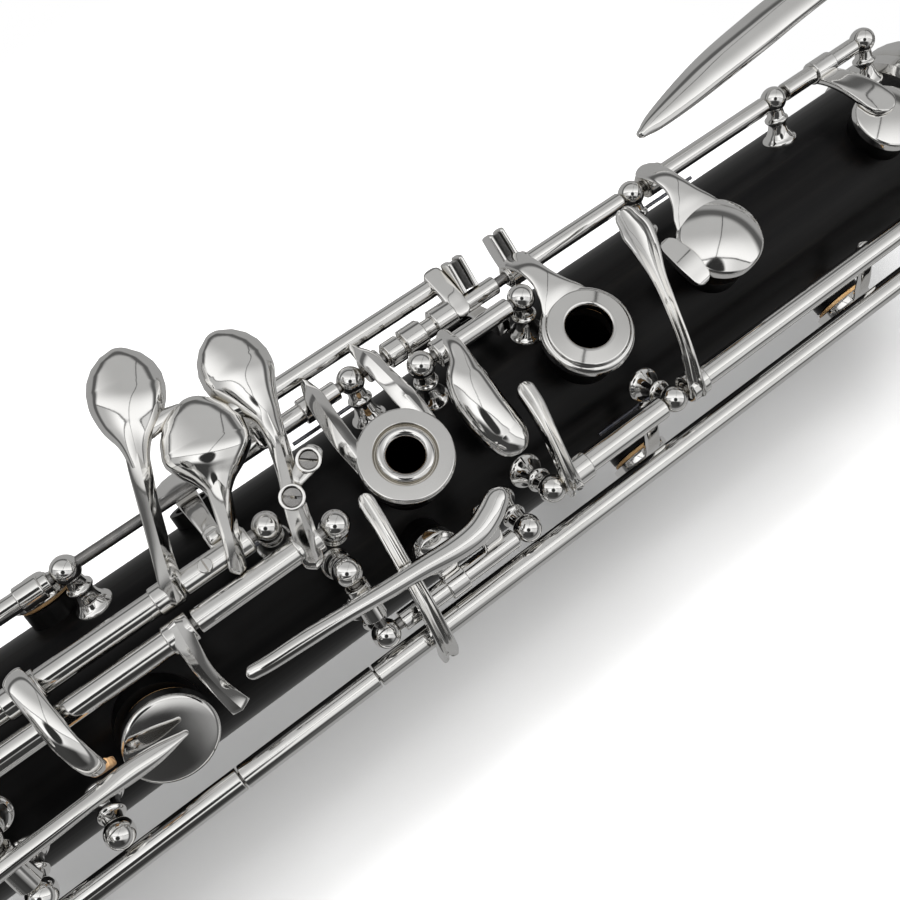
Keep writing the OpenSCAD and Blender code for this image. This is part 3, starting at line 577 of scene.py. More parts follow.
def screw_boss(b, screws, at, r, h):
    """A ring on b with a slotted adjusting screw sunk in it."""
    b.lathe(at, rounded([(r - 0.5, 0), (r, 0), (r, h), (r - 0.5, h)], 0.12, closed=True), 40, True)
    screws.slotted(at @ Matrix.Rotation(0.9, 4, "Z"), r - 0.55, h - 0.5, 0.5)


# ---------- right hand finger plates ----------

PLATE_OPEN = swung(LINE_A, -5.5)


def rh1():
    b = Build()
    key_cup(b, PLATE_A, RH1_Z, 7.9, dome=4.4)
    hinge_tubes(b, LINE_A, [(571.3, 603)])
    collar(b, LINE_A, 573.8, 2.4, 2.5)
    b.sweep([
        (-22.3, -17.2, 573.2, 2.5, 0.9), (-19.2, -20.2, 573, 2.2, 0.95), (-16.2, -21.6, 573, 2.3, 0.95),
        (-13.4, -21.9, 573, 3.2, 0.9), (-11, -21.7, 573, 4.6, 0.8), (-9, -21.6, 573, 5.4, 0.6)], DOME,
        caps=(0.8, 0.2))
    # side tab with a flat face
    b.sweep([
        (-6.6, -22.6, 563.8, 1.9, 0.9), (-3.4, -23.1, 564.2, 2.2, 0.95), (-0.4, -22.9, 564.6, 1.9, 0.9)],
        COIN, up=(-0.25, -1, -0.1), caps=(1.2, 1.2))
    b.done("rh1_key_plate", "rh1_key", SILVER, ["rh1_key"], turn=PLATE_OPEN)
    pad_piece("rh1_pad_skin", "rh1_key", PLATE_A, RH1_Z, 7.9, replaces=["rh1_pad"], turn=PLATE_OPEN)


def rh2():
    b = Build()
    at = seat(PLATE_A, RH2_Z, 0.9)
    b.lathe(at, rounded([(7.7, 1.2), (7.7, 0), (8.4, 0.1), (8.4, 1.5), (8.0, 2.1), (7.5, 2.2), (7.25, 2.75),
                         (4.6, 3.15), (4.15, 2.9), (4.15, 1.2)], 0.28, closed=True), 80, True)
    hinge_tubes(b, LINE_A, [(538, 565.6)])
    collar(b, LINE_A, 541, 2.6, 2.4)
    b.sweep([
        (-22.2, -17.2, 540.7, 2.4, 0.9), (-19, -20.1, 540.9, 2.1, 0.95), (-15.8, -21.5, 541.1, 2.3, 0.95),
        (-13, -21.9, 541.3, 3.3, 0.9), (-10.8, -21.7, 541.5, 4.6, 0.7), (-9.6, -21.6, 541.6, 5, 0.5)],
        DOME, caps=(0.8, 0.2))
    felt_peg(b, 540.6)
    b.done("rh2_key_plate", "rh2_key", SILVER, ["rh2_key"], turn=PLATE_OPEN)
    pad_piece("rh2_pad_skin", "rh2_key", PLATE_A, RH2_Z, PLATE_R, 5.1, ["rh2_pad"], PLATE_OPEN)
    peg_felt("rh2_felt", "rh2_key", 540.6, PLATE_OPEN)


def rh3():
    b = Build()
    at = seat(PLATE_A, RH3_Z, 0.9)
    # flat ring, a groove, and the raised ring round the finger hole
    b.lathe(at, rounded([(7.7, 1.2), (7.7, 0), (8.3, 0.1), (8.35, 2.3), (8.0, 2.85), (5.45, 2.95),
                         (5.3, 1.9), (4.9, 1.9), (4.8, 2.9), (4.2, 3.25), (3.6, 3.05), (3.2, 2.6),
                         (3.2, 1.2)], 0.18, closed=True), 80, True)
    hinge_tubes(b, LINE_A, [(489, 500.9), (506.7, 510.2)])
    collar(b, LINE_A, 495.6, 2.0, 2.35)
    collar(b, LINE_A, 508.4, 1.8, 2.35)
    # two bevelled arms that run on as tangents of the plate
    b.sweep([
        (-24.2, -16.4, 496.9, 0.9, 0.9), (-21, -19.6, 496.3, 1.6, 1.2), (-16.4, -21.4, 495.8, 1.75, 1.2),
        (-12, -21.9, 495.6, 1.9, 1.1), (-8.2, -22.1, 495.7, 1.7, 0.9), (-5.2, -22.4, 495.2, 1, 0.7)],
        RIDGE, caps=(1.4, 0.4))
    b.sweep([
        (-24.8, -16.2, 507.4, 0.9, 0.9), (-21.6, -19.3, 507.6, 1.6, 1.2), (-16.6, -21.4, 507.9, 1.75, 1.2),
        (-12, -21.9, 508.4, 2, 1.1), (-8.2, -22.1, 508.8, 1.8, 0.9), (-5, -22.4, 509.4, 1, 0.7)],
        RIDGE, caps=(1.6, 0.4))
    b.done("rh3_key_plate", "rh3_key", SILVER, ["rh3_key"], turn=PLATE_OPEN)
    pad_piece("rh3_pad_skin", "rh3_key", PLATE_A, RH3_Z, PLATE_R, 4.4, ["rh3_pad"], PLATE_OPEN)


def felt_peg(b, z):
    """A pair of thin uprights that stand out from the hinge; the felt goes between them."""
    for dz in (-1.25, 1.25):
        b.sweep([
            (-22.6, -15.5, z + dz, 1.9, 0.55), (-25.5, -16.2, z + dz, 2.1, 0.5),
            (-28.2, -17, z + dz, 2, 0.5)], BAR, up=(0, 0, 1), caps=(0, 0.25))


def peg_felt(name, body, z, turn=None):
    b = Build()
    b.sweep([
        (-22.8, -15.6, z, 1.6, 0.62), (-25.5, -16.2, z, 1.8, 0.62), (-27.9, -16.9, z, 1.7, 0.62)], BAR,
        up=(0, 0, 1), caps=(0, 0.2))
    b.done(name, body, FELT, turn=turn)


def bridge():
    b = Build()
    hinge_tubes(b, LINE_A, [(478, 487.6), (511, 535.6)])
    for z in (517.3, 523.8):
        collar(b, LINE_A, z, 2.1, 2.75, seg=8)
    collar(b, LINE_A, 513, 1.6, 2.4)
    b.tube(polar(30, -63, 484), polar(30, -63, 531), THIN_R, 0)
    for z in (485.8, 527.3):
        b.sweep([
            (-20.6, -16.6, z, 1.9, 0.8), (-24.2, -16.2, z, 1.8, 0.8), (-28.4, -14.6, z, 1.8, 0.8)], BAR,
            caps=(1, 0.6))
    felt_peg(b, 530.9)
    b.done("bridge_bar", "stack_bridge", SILVER, ["stack_bridge"])
    peg_felt("bridge_felt", "stack_bridge", 530.9)


def sliver():
    b = Build()
    hinge_tubes(b, LINE_B, [(517.2, 533.3)])
    collar(b, LINE_B, 519.4, 2.0, 2.5)
    arc_arm(b, -74, -37, 531, 531, 1.5, 1.5, 22.3, 0.6)
    b.sweep([
        (*polar(22.2, -37, 531), 1.4, 1.5), (*polar(25, -37, 531), 1.4, 1.5)], BAR, up=(0, 0, 1),
        caps=(0, 0))
    key_cup(b, -78, 531, 5)
    # bean shaped touch, crowned, on its curved root
    b.sweep([
        (-17.2, -21.2, 520.4, 1.5, 1.2), (-14.8, -23.4, 520.2, 1.6, 1.4), (-12.4, -24.4, 519.6, 2.1, 1.7),
        (-9.6, -24.5, 518.5, 3.4, 2.8), (-6.4, -24.5, 517.9, 4, 3.2), (-3, -24.5, 517.8, 4.1, 3.3),
        (0.2, -24.4, 518.1, 4.1, 3.1), (2, -24.3, 518.5, 3.9, 2.9)], DOME, up=(-0.05, -1, -0.05),
        caps=(1, 1.1))
    b.done("sliver_touch", "sliver_key", SILVER, ["sliver_key"])


# ---------- little finger keys ----------

# Which way the heads of the touches face, and how far their cups stand open
SPATULA_UP = (-0.05, -1, -0.14)
SPRING_OPEN = 5


def low_e_touch(b):
    """A ridged stem, the spoon-like head over it, and the head's pointed lip."""
    b.sweep([
        (-6.6, -25.9, 459.9, 1.9, 1.6), (-10, -26.8, 461.1, 1.75, 1.9), (-15, -27.1, 462.8, 1.6, 2.1),
        (-21.4, -26.6, 465, 1.6, 2.1), (-27, -25.5, 467.1, 1.8, 1.9), (-31, -24.4, 468.6, 1.6, 1.4)],
        RIDGE, up=(0.1, -1, 0.1), caps=(0.5, 0.3))
    b.sweep([
        (-22.2, -26.4, 465.4, 0.8, 1), (-26.2, -25.4, 466.9, 1.5, 1.8), (-29.8, -24.4, 468.2, 2.5, 2.5),
        (-32.8, -23.5, 469.4, 4.6, 3.6), (-35.8, -22.9, 470.7, 5.9, 4.3), (-38.2, -22.4, 471.8, 6.2, 4.2)],
        DOME, up=SPATULA_UP, caps=(0.8, 1.1))
    b.sweep([
        (-31.6, -24.2, 467.2, 2.4, 1.2), (-31.2, -24, 472.2, 1.9, 1.1), (-31.4, -23.6, 477, 0.5, 0.6)],
        DOME, up=SPATULA_UP, caps=(0.4, 0.8))


def low_e_strap(b):
    """The strap that reaches over the neighbouring tube."""
    b.sweep([
        (-10.6, -24.6, 434.8, 1.7, 0.8), (-10.4, -27.2, 435.2, 1.8, 0.85), (-8.6, -29.4, 435.8, 1.85, 0.9),
        (-4.6, -30.7, 436.3, 1.85, 0.9), (0.2, -30.7, 436.6, 1.85, 0.9), (3.8, -29.6, 436.9, 1.8, 0.85),
        (6.4, -27.6, 437.2, 1.7, 0.9), (7.6, -25.4, 437.4, 1.5, 0.8)], DOME, caps=(1.2, 0.4))
    collar(b, LINE_M1, 434.6, 3, 2.5)


def low_e():
    b = Build()
    hinge_tubes(b, LINE_M1, [(311.2, 461.3)], STOUT_R)
    collar(b, LINE_M1, 459.2, 2.1, 2.5)
    low_e_touch(b)
    low_e_strap(b)
    turn = swung(LINE_M1, SPRING_OPEN)
    arc_arm(b, -44, LINE_M1[0], 330, 330, 4, 4, 24.4, turn=turn)
    cup_piece("low_e_cup", "low_e_key", -54, 330, 12, dome=3.6, turn=turn)
    b.done("low_e_lever", "low_e_key", SILVER, ["low_e_key"])
    pad_piece("low_e_pad_skin", "low_e_key", -54, 330, 12, replaces=["low_e_pad"], turn=turn)
    foot = Build()
    foot.sweep([
        (7.4, -25.4, 437.4, 1.6, 0.8), (7.8, -24, 437.5, 1.7, 0.8), (8, -22, 437.6, 1.7, 0.8)], BAR,
        up=(0.8, 0.4, 0), caps=(0.1, 0.2))
    foot.done("strap_cork", "low_e_key", CORK)


def g_sharp():
    b = Build()
    hinge_tubes(b, LINE_M1, [(462, 474.3)], STOUT_R)
    collar(b, LINE_M1, 472.4, 1.7, 2.5)
    b.slotted(along(polar(27.9, -16.5, 466.4), polar(1, -16.5)), 1.15, 0.8)
    b.sweep([
        (-4.8, -26.4, 470.1, 1.4, 1.4), (-9.2, -27.6, 471.9, 1.45, 1.7), (-13.2, -27.7, 473.4, 1.6, 1.8),
        (-17.4, -27.2, 474.9, 1.9, 1.7)], RIDGE, up=(0.1, -1, 0.1), caps=(0.6, 0.3))
    b.sweep([
        (-13.2, -27.3, 473.6, 1, 1.2), (-15.6, -26.6, 474.3, 1.7, 1.7), (-17.6, -26.3, 475, 2.9, 2.4),
        (-19.6, -26, 475.7, 5, 3.4), (-21.8, -25.8, 476.4, 6.8, 4.2), (-23.4, -25.4, 476.9, 7.2, 4.2)],
        DOME, up=SPATULA_UP, caps=(0.8, 1.15))
    turn = swung(LINE_M1, SPRING_OPEN)
    arc_arm(b, -28, LINE_M1[0], 470, 470, 1.6, 1.6, 24.4, turn=turn)
    b.sweep([
        (*polar(24.8, -26, 470), 1.3, 1.3), (*polar(22.3, -26, 470), 1.3, 1.3)], BAR, up=(0, 0, 1),
        turn=turn)
    arc_arm(b, -70, -25, 470, 470, 2.2, 1.4, 22.4, 0.6, turn=turn)
    cup_piece("g_sharp_cup", "g_sharp_key", -74, 470, 5, turn=turn)
    b.done("g_sharp_lever", "g_sharp_key", SILVER, ["g_sharp_key"])


def f_sharp():
    b = Build()
    hinge_tubes(b, LINE_M2, [(460.5, 483.2)], STOUT_R)
    collar(b, LINE_M2, 481, 2.1, 2.5)
    b.sweep([
        (0.7, -26.9, 480.2, 1.8, 1.5), (-3.6, -28, 481.4, 1.9, 1.7), (-8.4, -28.3, 482.9, 1.8, 1.7),
        (-12.2, -28.2, 484.4, 1.6, 1.8), (-17.8, -27.5, 486.3, 1.7, 1.9), (-22, -26.6, 487.3, 1.7, 1.7)],
        RIDGE, up=(0.05, -1, 0.05), caps=(0.9, 0.3))
    b.sweep([
        (-14.6, -27.8, 485.3, 0.9, 1.3), (-18.6, -27, 486.5, 1.6, 2), (-22, -26, 487.3, 2.3, 2.3),
        (-25.8, -25.1, 487.5, 4, 3.4), (-29, -24.4, 487.7, 5.6, 4.1), (-31.4, -23.9, 487.8, 6, 4)],
        DOME, up=SPATULA_UP, caps=(0.8, 1.15))
    # pointed lip below the head
    b.sweep([
        (-25.6, -25.8, 487.6, 2.2, 1.3), (-25.8, -25.6, 483.8, 1.6, 1.1), (-26.6, -25.2, 480.6, 0.5, 0.6)],
        DOME, up=SPATULA_UP, caps=(0.4, 0.8))
    lug = Vector(SPATULA_UP)
    b.sweep([
        (-10.8, -28.7, 484.9, 1.2, 0.9), (-12.3, -28.5, 488.4, 1.9, 0.8), (-13.2, -28.2, 490, 1.4, 0.7)],
        BAR, up=SPATULA_UP, caps=(0.5, 0.6))
    screws = Build()
    for at, r, h in (((-12.3, -28.8, 488.4), 2.05, 1.5), ((-8.9, -29.2, 483.0), 2.1, 1.9)):
        screw_boss(b, screws, along(at, lug), r, h)
    b.done("f_sharp_lever", "f_sharp_key", SILVER, ["f_sharp_key"])
    screws.done("f_sharp_screws", "f_sharp_key", STEEL)


def low_f():
    b = Build()
    hinge_tubes(b, LINE_M2, [(369, 459.9)], STOUT_R)
    collar(b, LINE_M2, 457.7, 2.2, 2.55)
    b.sweep([
        (-2.8, -27.6, 458, 1.9, 1.1), (1, -28.3, 457.7, 1.6, 1.2), (4.6, -28.3, 457.6, 1.35, 1.2),
        (8.4, -27.6, 458, 1.35, 1.2), (12.6, -26.2, 458.8, 1.7, 1.1)], RIDGE, caps=(0.6, 0.15))
    arc_arm(b, -4, 16, 385, 385, 4, 4, 24.4)
    key_cup(b, 24, 385, 10.4, dome=3.6)
    b.done("low_f_lever", "low_f_key", SILVER, ["low_f_key"])
    pad_piece("low_f_pad_skin", "low_f_key", 24, 385, 10.4, replaces=["low_f_pad"])


def across(a, z, half):
    """Middle and direction of a hinge that runs across the body."""
    depth = HINGE_R * math.cos(math.asin(half / HINGE_R))
    side = Vector((math.cos(math.radians(a)), math.sin(math.radians(a)), 0))
    return polar(depth, a, z), side


def long_touch():
    b = Build()
    mid, side = across(26, 483.6, 6.27)
    b.tube(mid - side * 3.42, mid + side * 3.42, STOUT_R, ROD_R + 0.04)
    b.sweep([
        (10.3, -24.4, 483.7, 1.2, 1.6), (10.6, -27, 484, 1.1, 1.5), (10.9, -29.4, 484.6, 1.4, 1.8)], BAR,
        up=(0, 0, 1), caps=(0, 0))
    b.sweep([
        (9.2, -28.8, 463.2, 1.2, 1.1), (9.5, -29.3, 466, 1.3, 1.3), (9.8, -29.7, 472, 1.4, 1.4),
        (10.3, -29.7, 479, 1.4, 1.8), (11, -29.7, 486, 1.55, 1.9), (11.6, -29.6, 493, 1.7, 2),
        (12.3, -29.4, 499.2, 2, 2.2), (12.2, -29.3, 503.6, 2.2, 2.3), (11.2, -29.2, 506.8, 2.25, 2.3),
        (9.9, -29.1, 509.2, 2.1, 2.2)], DOME, up=(0.1, -1, 0), caps=(0.9, 1.1))
    b.tube((9.3, -29.2, 463.6), (9.3, -26.4, 463.6), 1.2, 0)
    b.done("long_touch_lever", "long_touch_key", SILVER, ["long_touch_key"])


def rocker():
    b = Build()
    mid, side = across(29.25, 419.6, 6.8)
    b.tube(mid - side * 3.95, mid + side * 3.95, STOUT_R, ROD_R + 0.04)
    at = seat(27, 447.4, 0.9)
    # smooth shallow dome
    b.lathe(at, rounded([(0, 1.2), (6.9, 1.2), (7.0, 0.1), (7.5, 0.1), (7.6, 2.5), (7.35, 2.8)], 0.22)
            + [(6.8, 2.95), (5.6, 3.15), (4.2, 3.3), (2.4, 3.42), (0, 3.45)], 80)
    b.sweep([
        (11.7, -25, 409.5, 1.6, 1.3), (11.2, -26.6, 415, 1.5, 1.6), (10.9, -27.2, 421, 1.45, 1.8),
        (10.7, -27.2, 428, 1.4, 1.8), (10.5, -26.8, 435, 1.35, 1.8), (10.6, -26.1, 440, 1.7, 1.7),
        (10.8, -25.3, 445, 1.5, 1.6), (10.9, -24.7, 449.6, 0.5, 0.9)], LEAF, caps=(0.8, 1.6))
    b.done("rocker_lever", "rocker_key", SILVER, ["rocker_key"])
    pad_piece("rocker_pad_skin", "rocker_key", 27, 447.4, 8.0, replaces=["rocker_pad"])


# ---------- other keys, each a cup, an arm and its tubes ----------

def cup_key(name, body, line, spans, arm, cup, tube_r=THIN_R, open_turn=0.0, pad=(), extra=None, hole=0.0):
    """arm is (angle, z, half width), cup is (angle, z, radius); extra adds the touch."""
    b = Build()
    turn = swung(line, open_turn) if open_turn else None
    hinge_tubes(b, line, spans, tube_r)
    if arm:
        a, z, w = arm
        arc_arm(b, line[0], a, z, z, w, w * 1.35, 24.5 if line[1] < 27 else 25.5, 0.85, turn=turn)
        collar(b, line, z, min(w + 0.4, 2.6), tube_r + 0.5)
    if cup:
        cup_piece(name + "_cup", body, *cup, hole, turn=turn)
        pad_piece(name + "_pad_skin", body, *cup, hole, replaces=pad, turn=turn)
    if extra:
        extra(b)
    b.done(name + "_lever", body, SILVER, [body])


def side_cup():
    cup_key("side_cup", "side_cup_key", LINE_A, [(402.8, 445.4)], (-68, 442, 1.7), (-72, 442, 5.3),
            pad=["side_cup_pad"])


def upper_cup():
    cup_key("upper_cup", "upper_cup_key", LINE_A, [(608.7, 628.2)], (-20, 619, 2.4), (-12, 620, 7),
            pad=["upper_cup_pad"])


def cross_lever():
    def touch(b):
        b.sweep([
            (-1.6, -26.4, 525, 1.6, 1.2), (1.4, -26.9, 524.7, 1.5, 1.3), (5.4, -26.9, 524.1, 1.2, 1.4),
            (10.4, -25.9, 523.5, 1.15, 1.4), (14.6, -23.8, 523.4, 1.4, 1.3),
            (16.6, -21.4, 523.8, 1.7, 1.2)], GUTTER, caps=(1, 0.5))
        arc_arm(b, LINE_Q[0], 74, 544, 544, 1.5, 1.6, 23.4, 0.7)
        collar(b, LINE_Q, 526, 2.2, 2.7)

    cup_key("cross", "cross_key", LINE_Q, [(523.3, 545.8)], None, (78, 544, 5.8), STOUT_R, extra=touch)


def tall_lever():
    def touch(b):
        b.sweep([
            (-15.8, -25.9, 559.1, 2.2, 1.2), (-13, -26.8, 558.6, 2.8, 1.5), (-9.4, -27.4, 557.7, 2.3, 1.5),
            (-4.6, -27.6, 556.5, 1.4, 1.3), (1, -27.5, 555.2, 1.15, 1.3), (7.4, -26.7, 553.8, 1.15, 1.3),
            (13, -24.7, 552.7, 1.4, 1.2), (16, -22.2, 552.8, 1.7, 1.1)], GUTTER, up=(0, -1, -0.5),
            caps=(1.2, 0.5))
        arc_arm(b, LINE_Q[0], 74, 600, 600, 1.5, 1.6, 23.4, 0.7)
        collar(b, LINE_Q, 553.4, 2.0, 2.7)

    cup_key("tall", "tall_lever_key", LINE_Q, [(551.4, 620.7)], None, (78, 600, 5.8), STOUT_R, extra=touch)


def trill():
    cup_key("trill", "trill_key", LINE_T, [(486.8, 510.8)], (34, 498, 1.5), (31, 498, 4.3), open_turn=10,
            extra=lambda b: b.sweep([(*polar(25, 43, 507), 2.0, 0.9), (*polar(25.2, 32, 507), 1.9, 0.9),
                                     (*polar(25.6, 22, 507), 1.8, 0.9)], BAR, turn=swung(LINE_T, 10)))


def long_rod():
    b = Build()
    hinge_tubes(b, LINE_S, [(277.8, 451.9), (452.2, 478.3), (478.6, 625.2)], STOUT_R)
    closed = swung(LINE_S, -3)
    b.sweep([
        (*polar(28, 54, 296), 4, 1.1), (*polar(26.6, 66, 296), 4.2, 1.1),
        (*polar(24.6, 80, 296), 4.6, 1)], BAR, turn=closed)
    cup_piece("long_rod_cup", "long_rod_key", 88, 296, 13.4, dome=3.8, turn=closed)
    pad_piece("long_rod_pad_skin", "long_rod_key", 88, 296, 13.4, turn=closed)
    # grooved lever that ends over the rod
    b.sweep([
        (-1.6, -26.2, 492.3, 1.4, 1.1), (3.2, -26.8, 491.9, 1.35, 1.1), (9, -26.8, 491.3, 1.3, 1),
        (15.4, -26.5, 490.8, 1.4, 1.1), (20.6, -25, 490.3, 1.5, 1.3), (24.6, -22.4, 490.1, 1.6, 1.4),
        (26.4, -18.8, 490.1, 1.6, 1.2)], GUTTER, caps=(1.2, 0.8))
    arc_arm(b, 54, 66, 622.5, 622.5, 2, 2, 29)
    b.sweep([(*polar(29, 66, 621), 1.6, 0.85), (*polar(29, 66, 641), 1.6, 0.85)], BAR, caps=(0.3, 0.6))
    b.done("long_rod_lever", "long_rod_key", SILVER, ["long_rod_key"])


def left_levers():
    def outer_touch(b):
        b.sweep([
            (*polar(31.4, 58, 656), 2, 0.9), (*polar(31.4, 66, 655), 1.8, 0.9),
            (*polar(31.4, 66.2, 646), 1.6, 0.9), (*polar(31.4, 66, 639), 1.5, 0.9)], BAR, caps=(0.5, 0.8))
        b.sweep([
            (*polar(28.6, 55, 693.5), 2.2, 0.9), (*polar(28.6, 70, 697), 2.6, 0.9),
            (*polar(29.6, 88, 703.5), 4.2, 1), (*polar(31, 96, 708), 5.4, 1.1)], DOME, caps=(0.6, 0.9))
        b.tube(polar(28, 54, 656), polar(31.2, 56, 656), 1.7, 0)

    def inner_touch(b):
        b.sweep([
            (*polar(27, 34, 729), 1.8, 0.9), (*polar(31.8, 38, 729), 1.9, 0.9),
            (*polar(33.2, 52, 728.8), 2.1, 0.9), (*polar(33.4, 68, 728.4), 3, 0.95),
            (*polar(34.6, 86, 729), 5, 1.05), (*polar(36, 94, 731), 5.4, 1.1)], DOME, caps=(0.4, 0.85))

    cup_key("left_lever_1", "left_lever_1", LINE_S, [(653.8, 735.2)], (76, 672, 2.4), (82, 672, 7.6),
            STOUT_R, open_turn=-5, extra=outer_touch)
    cup_key("left_lever_2", "left_lever_2", LINE_Q, [(658.8, 739.2)], (20, 690, 2.2), (14, 690, 7.4),
            STOUT_R, extra=inner_touch)


def side_keys():
    leaf_1 = [(-28.5, -19.4, 575.2, 1.0, 1.0), (-29.1, -19.4, 579, 2.1, 1.7), (-30.3, -19.5, 587, 3.2, 2.3),
              (-31.6, -19.6, 596, 3.9, 2.7), (-32.8, -19.6, 607, 4.2, 2.8), (-33.9, -19.5, 618, 4.2, 2.7),
              (-34.2, -19.3, 629, 3.7, 2.4), (-33.2, -19.2, 640, 2.9, 2.0), (-31.2, -19, 650, 2.2, 1.7),
              (-29.8, -18.4, 656, 1.9, 1.4)]
    leaf_2 = [(-37, -19.4, 692.5, 1.4, 1.2), (-36.8, -19.5, 698, 2.7, 2.0), (-36.2, -19.6, 708, 3.6, 2.5),
              (-35.2, -19.5, 720, 3.5, 2.4), (-33.4, -19.3, 733, 2.8, 2.0), (-31, -19, 744, 2.1, 1.6),
              (-29.8, -18.4, 748, 1.8, 1.4)]
    keys = (((653.8, 739.2), 690, leaf_1), ((744.8, 789.2), 765, leaf_2))
    for i, (span, cup_z, leaf) in enumerate(keys, 1):
        name = "side_key_%d" % i

        def touch(b, leaf=leaf, low=span[0]):
            b.sweep(leaf, LEAF, up=(-0.45, -1, 0.0), caps=(1, 0.5))
            b.sweep([
                (-29.8, -18.8, low + 2.4, 1.8, 1.8), (-27.4, -15, low + 3, 1.8, 1.8)], BAR, up=(0, 0, 1),
                caps=(0.3, 0))

        cup_key(name, name, LINE_C, [span], (-48, cup_z, 2.0), (-38, cup_z, 6.2),
                extra=touch)


def left_hand():
    for name, z, r, span in (("lh1", 892, 8.2, (879.8, 905.2)), ("lh2", 862, 8.2, (836.8, 874.2)),
                             ("lh3", 812, 9, (782.8, 831.2))):
        cup_key(name, name + "_key", LINE_LH, [span], (-14, z, 2.2), (0, z, r), open_turn=-5.5, hole=3.3)


def throat_keys():
    cup_key("throat_a", "throat_a_key", LINE_THROAT_A, [(907.8, 947.2)], (56, 922, 2.0), (62, 922, 5.4),
            extra=lambda b: arc_arm(b, 38, 18, 913, 912.5, 2.4, 3.6, 25.9, 1.0, DOME))
    cup_key("throat_g", "throat_g_sharp_key", LINE_THROAT_G, [(916.8, 947.2)], (15, 940, 2.0),
            (19, 940, 5.4),
            extra=lambda b: arc_arm(b, 6, -15, 921, 921.5, 2.4, 3.6, 25.9, 1.0, DOME))
    cup_key("thumb", "thumb_key", LINE_THUMB, [(854.8, 885.2)], (170, 870, 2.3), (180, 870, 7.4),
            open_turn=-5)
    cup_key("register", "register_key", LINE_REGISTER, [(858.8, 937.2)], (223, 925, 1.8), (228, 925, 4.4),
            extra=lambda b: arc_arm(b, 212, 185, 898, 898, 2.6, 4.2, 26, 1.0, DOME))


# ---------- posts, rods and fittings ----------

def post(b, a, z, r=HINGE_R, foot=3.3):
    """A turned post with its ball centred on the hinge line."""
    rise = r - BODY_R + 0.6
    ball = [(BALL_R * math.cos(p), rise + BALL_R * math.sin(p)) for p in
            [math.radians(-52 + 142 * i / 14) for i in range(15)]]
    neck = BALL_R * math.cos(math.radians(52))
    profile = rounded([(0, -0.8), (foot, -0.8), (foot + 0.05, 0.75), (foot - 0.6, 1.25), (2.1, 2.3),
                       (1.75, 3.6), (1.7, 4.3), (2.25, 4.6), (2.3, 5.1), (1.75, 5.5), (neck, rise - 2.1)],
                      0.35)
    at = seat(a, z, BODY_R - 0.6 - SEAT_R)
    b.lathe(at, profile + ball[:-1] + [(0, rise + BALL_R)], 40)


def on_line(line, *heights):
    """Places for posts on one hinge line."""
    return [(line[0], z) for z in heights]


LOWER_POSTS = (on_line(LINE_A, 400, 448.2, 503.8, 568.4, 605.8, 631) + on_line(LINE_B, 514.3, 536.2)
               + on_line(LINE_M1, 308, 477.4) + on_line(LINE_M2, 366) + on_line(LINE_Q, 520.5, 548.6, 623.5)
               + [(43.5, 433.2)] + on_line(LINE_T, 513.6, 483.6) + [(14, 419.6), (44.5, 419.6)])
UPPER_POSTS = (on_line(LINE_LH, 780, 834, 877, 908) + on_line(LINE_Q, 656, 742)
               + on_line(LINE_THUMB, 852, 888) + on_line(LINE_REGISTER, 856, 940)
               + on_line(LINE_THROAT_A, 905, 950) + on_line(LINE_THROAT_G, 914, 950))


def posts():
    b = Build()
    for a, z in LOWER_POSTS:
        post(b, a, z)
    post(b, -4, 486.3, foot=2.7)
    post(b, 12, 483.6, foot=2.7)
    for z in (275, 628):
        post(b, 54, z, 28)
    b.done("lower_posts_turned", ROOT, SILVER, ["lower_posts"])
    b = Build()
    for a, z in UPPER_POSTS:
        post(b, a, z)
    for z in (651, 738):
        post(b, 54, z, 28)
    for z in (651, 742, 792):
        post(b, -63, z, 30)
    b.done("upper_posts_turned", ROOT, SILVER, ["upper_posts"])


# ---------- bell, neck and body ----------

def bell_piece():
    """The bell's tube, bow and flare, with a rolled rim."""
    bow_r, bow_z, turn, straight, wall, rim_r = 52, 200, math.radians(160), 112, 1.2, 70
    top = LOWER_Z - 26
    down, bow = top - bow_z, bow_r * turn
    total = down + bow + straight

    def place(s):
        """The middle of the tube and its sideways direction at length s down it."""
        g = min(turn, max(0.0, (s - down) / bow_r))
        d, e = min(s, down), max(0.0, s - down - bow)
        forward = -bow_r + bow_r * math.cos(g) - e * math.sin(turn)
        height = top - d - bow_r * math.sin(g) - e * math.cos(turn)
        return Vector((0, forward, height)), Vector((0, math.cos(g), -math.sin(g)))

    def radius(s):
        k = s / total
        return 17.3 + 14 * k ** 1.4 + (rim_r - 31.3) * k ** 12

    stops = [total * (1 - (1 - i / 90) ** 1.35) for i in range(91)]

    def ring(s, r):
        c, y = place(s)
        return [c + Vector((r * math.sin(b), 0, 0)) + y * (r * math.cos(b)) for b in
                [2 * math.pi * i / 96 for i in range(96)]]

    b = Build()
    out = [ring(s, radius(s)) for s in stops]
    inn = [ring(s, radius(s) - wall) for s in reversed(stops)]
    b.skin(out + inn, loop=True)
    # rolled bead under the rim
    bead = []
    for i in range(12):
        p = 2 * math.pi * i / 12
        bead.append(ring(total - 1.0 + 0.9 * math.sin(p), radius(total) - 1.0 + 0.85 * math.cos(p)))
    b.skin(bead, loop=True)
    b.done("bell_flare", ROOT, SILVER, ["bell"])


# ---------- backdrop, lights and camera ----------

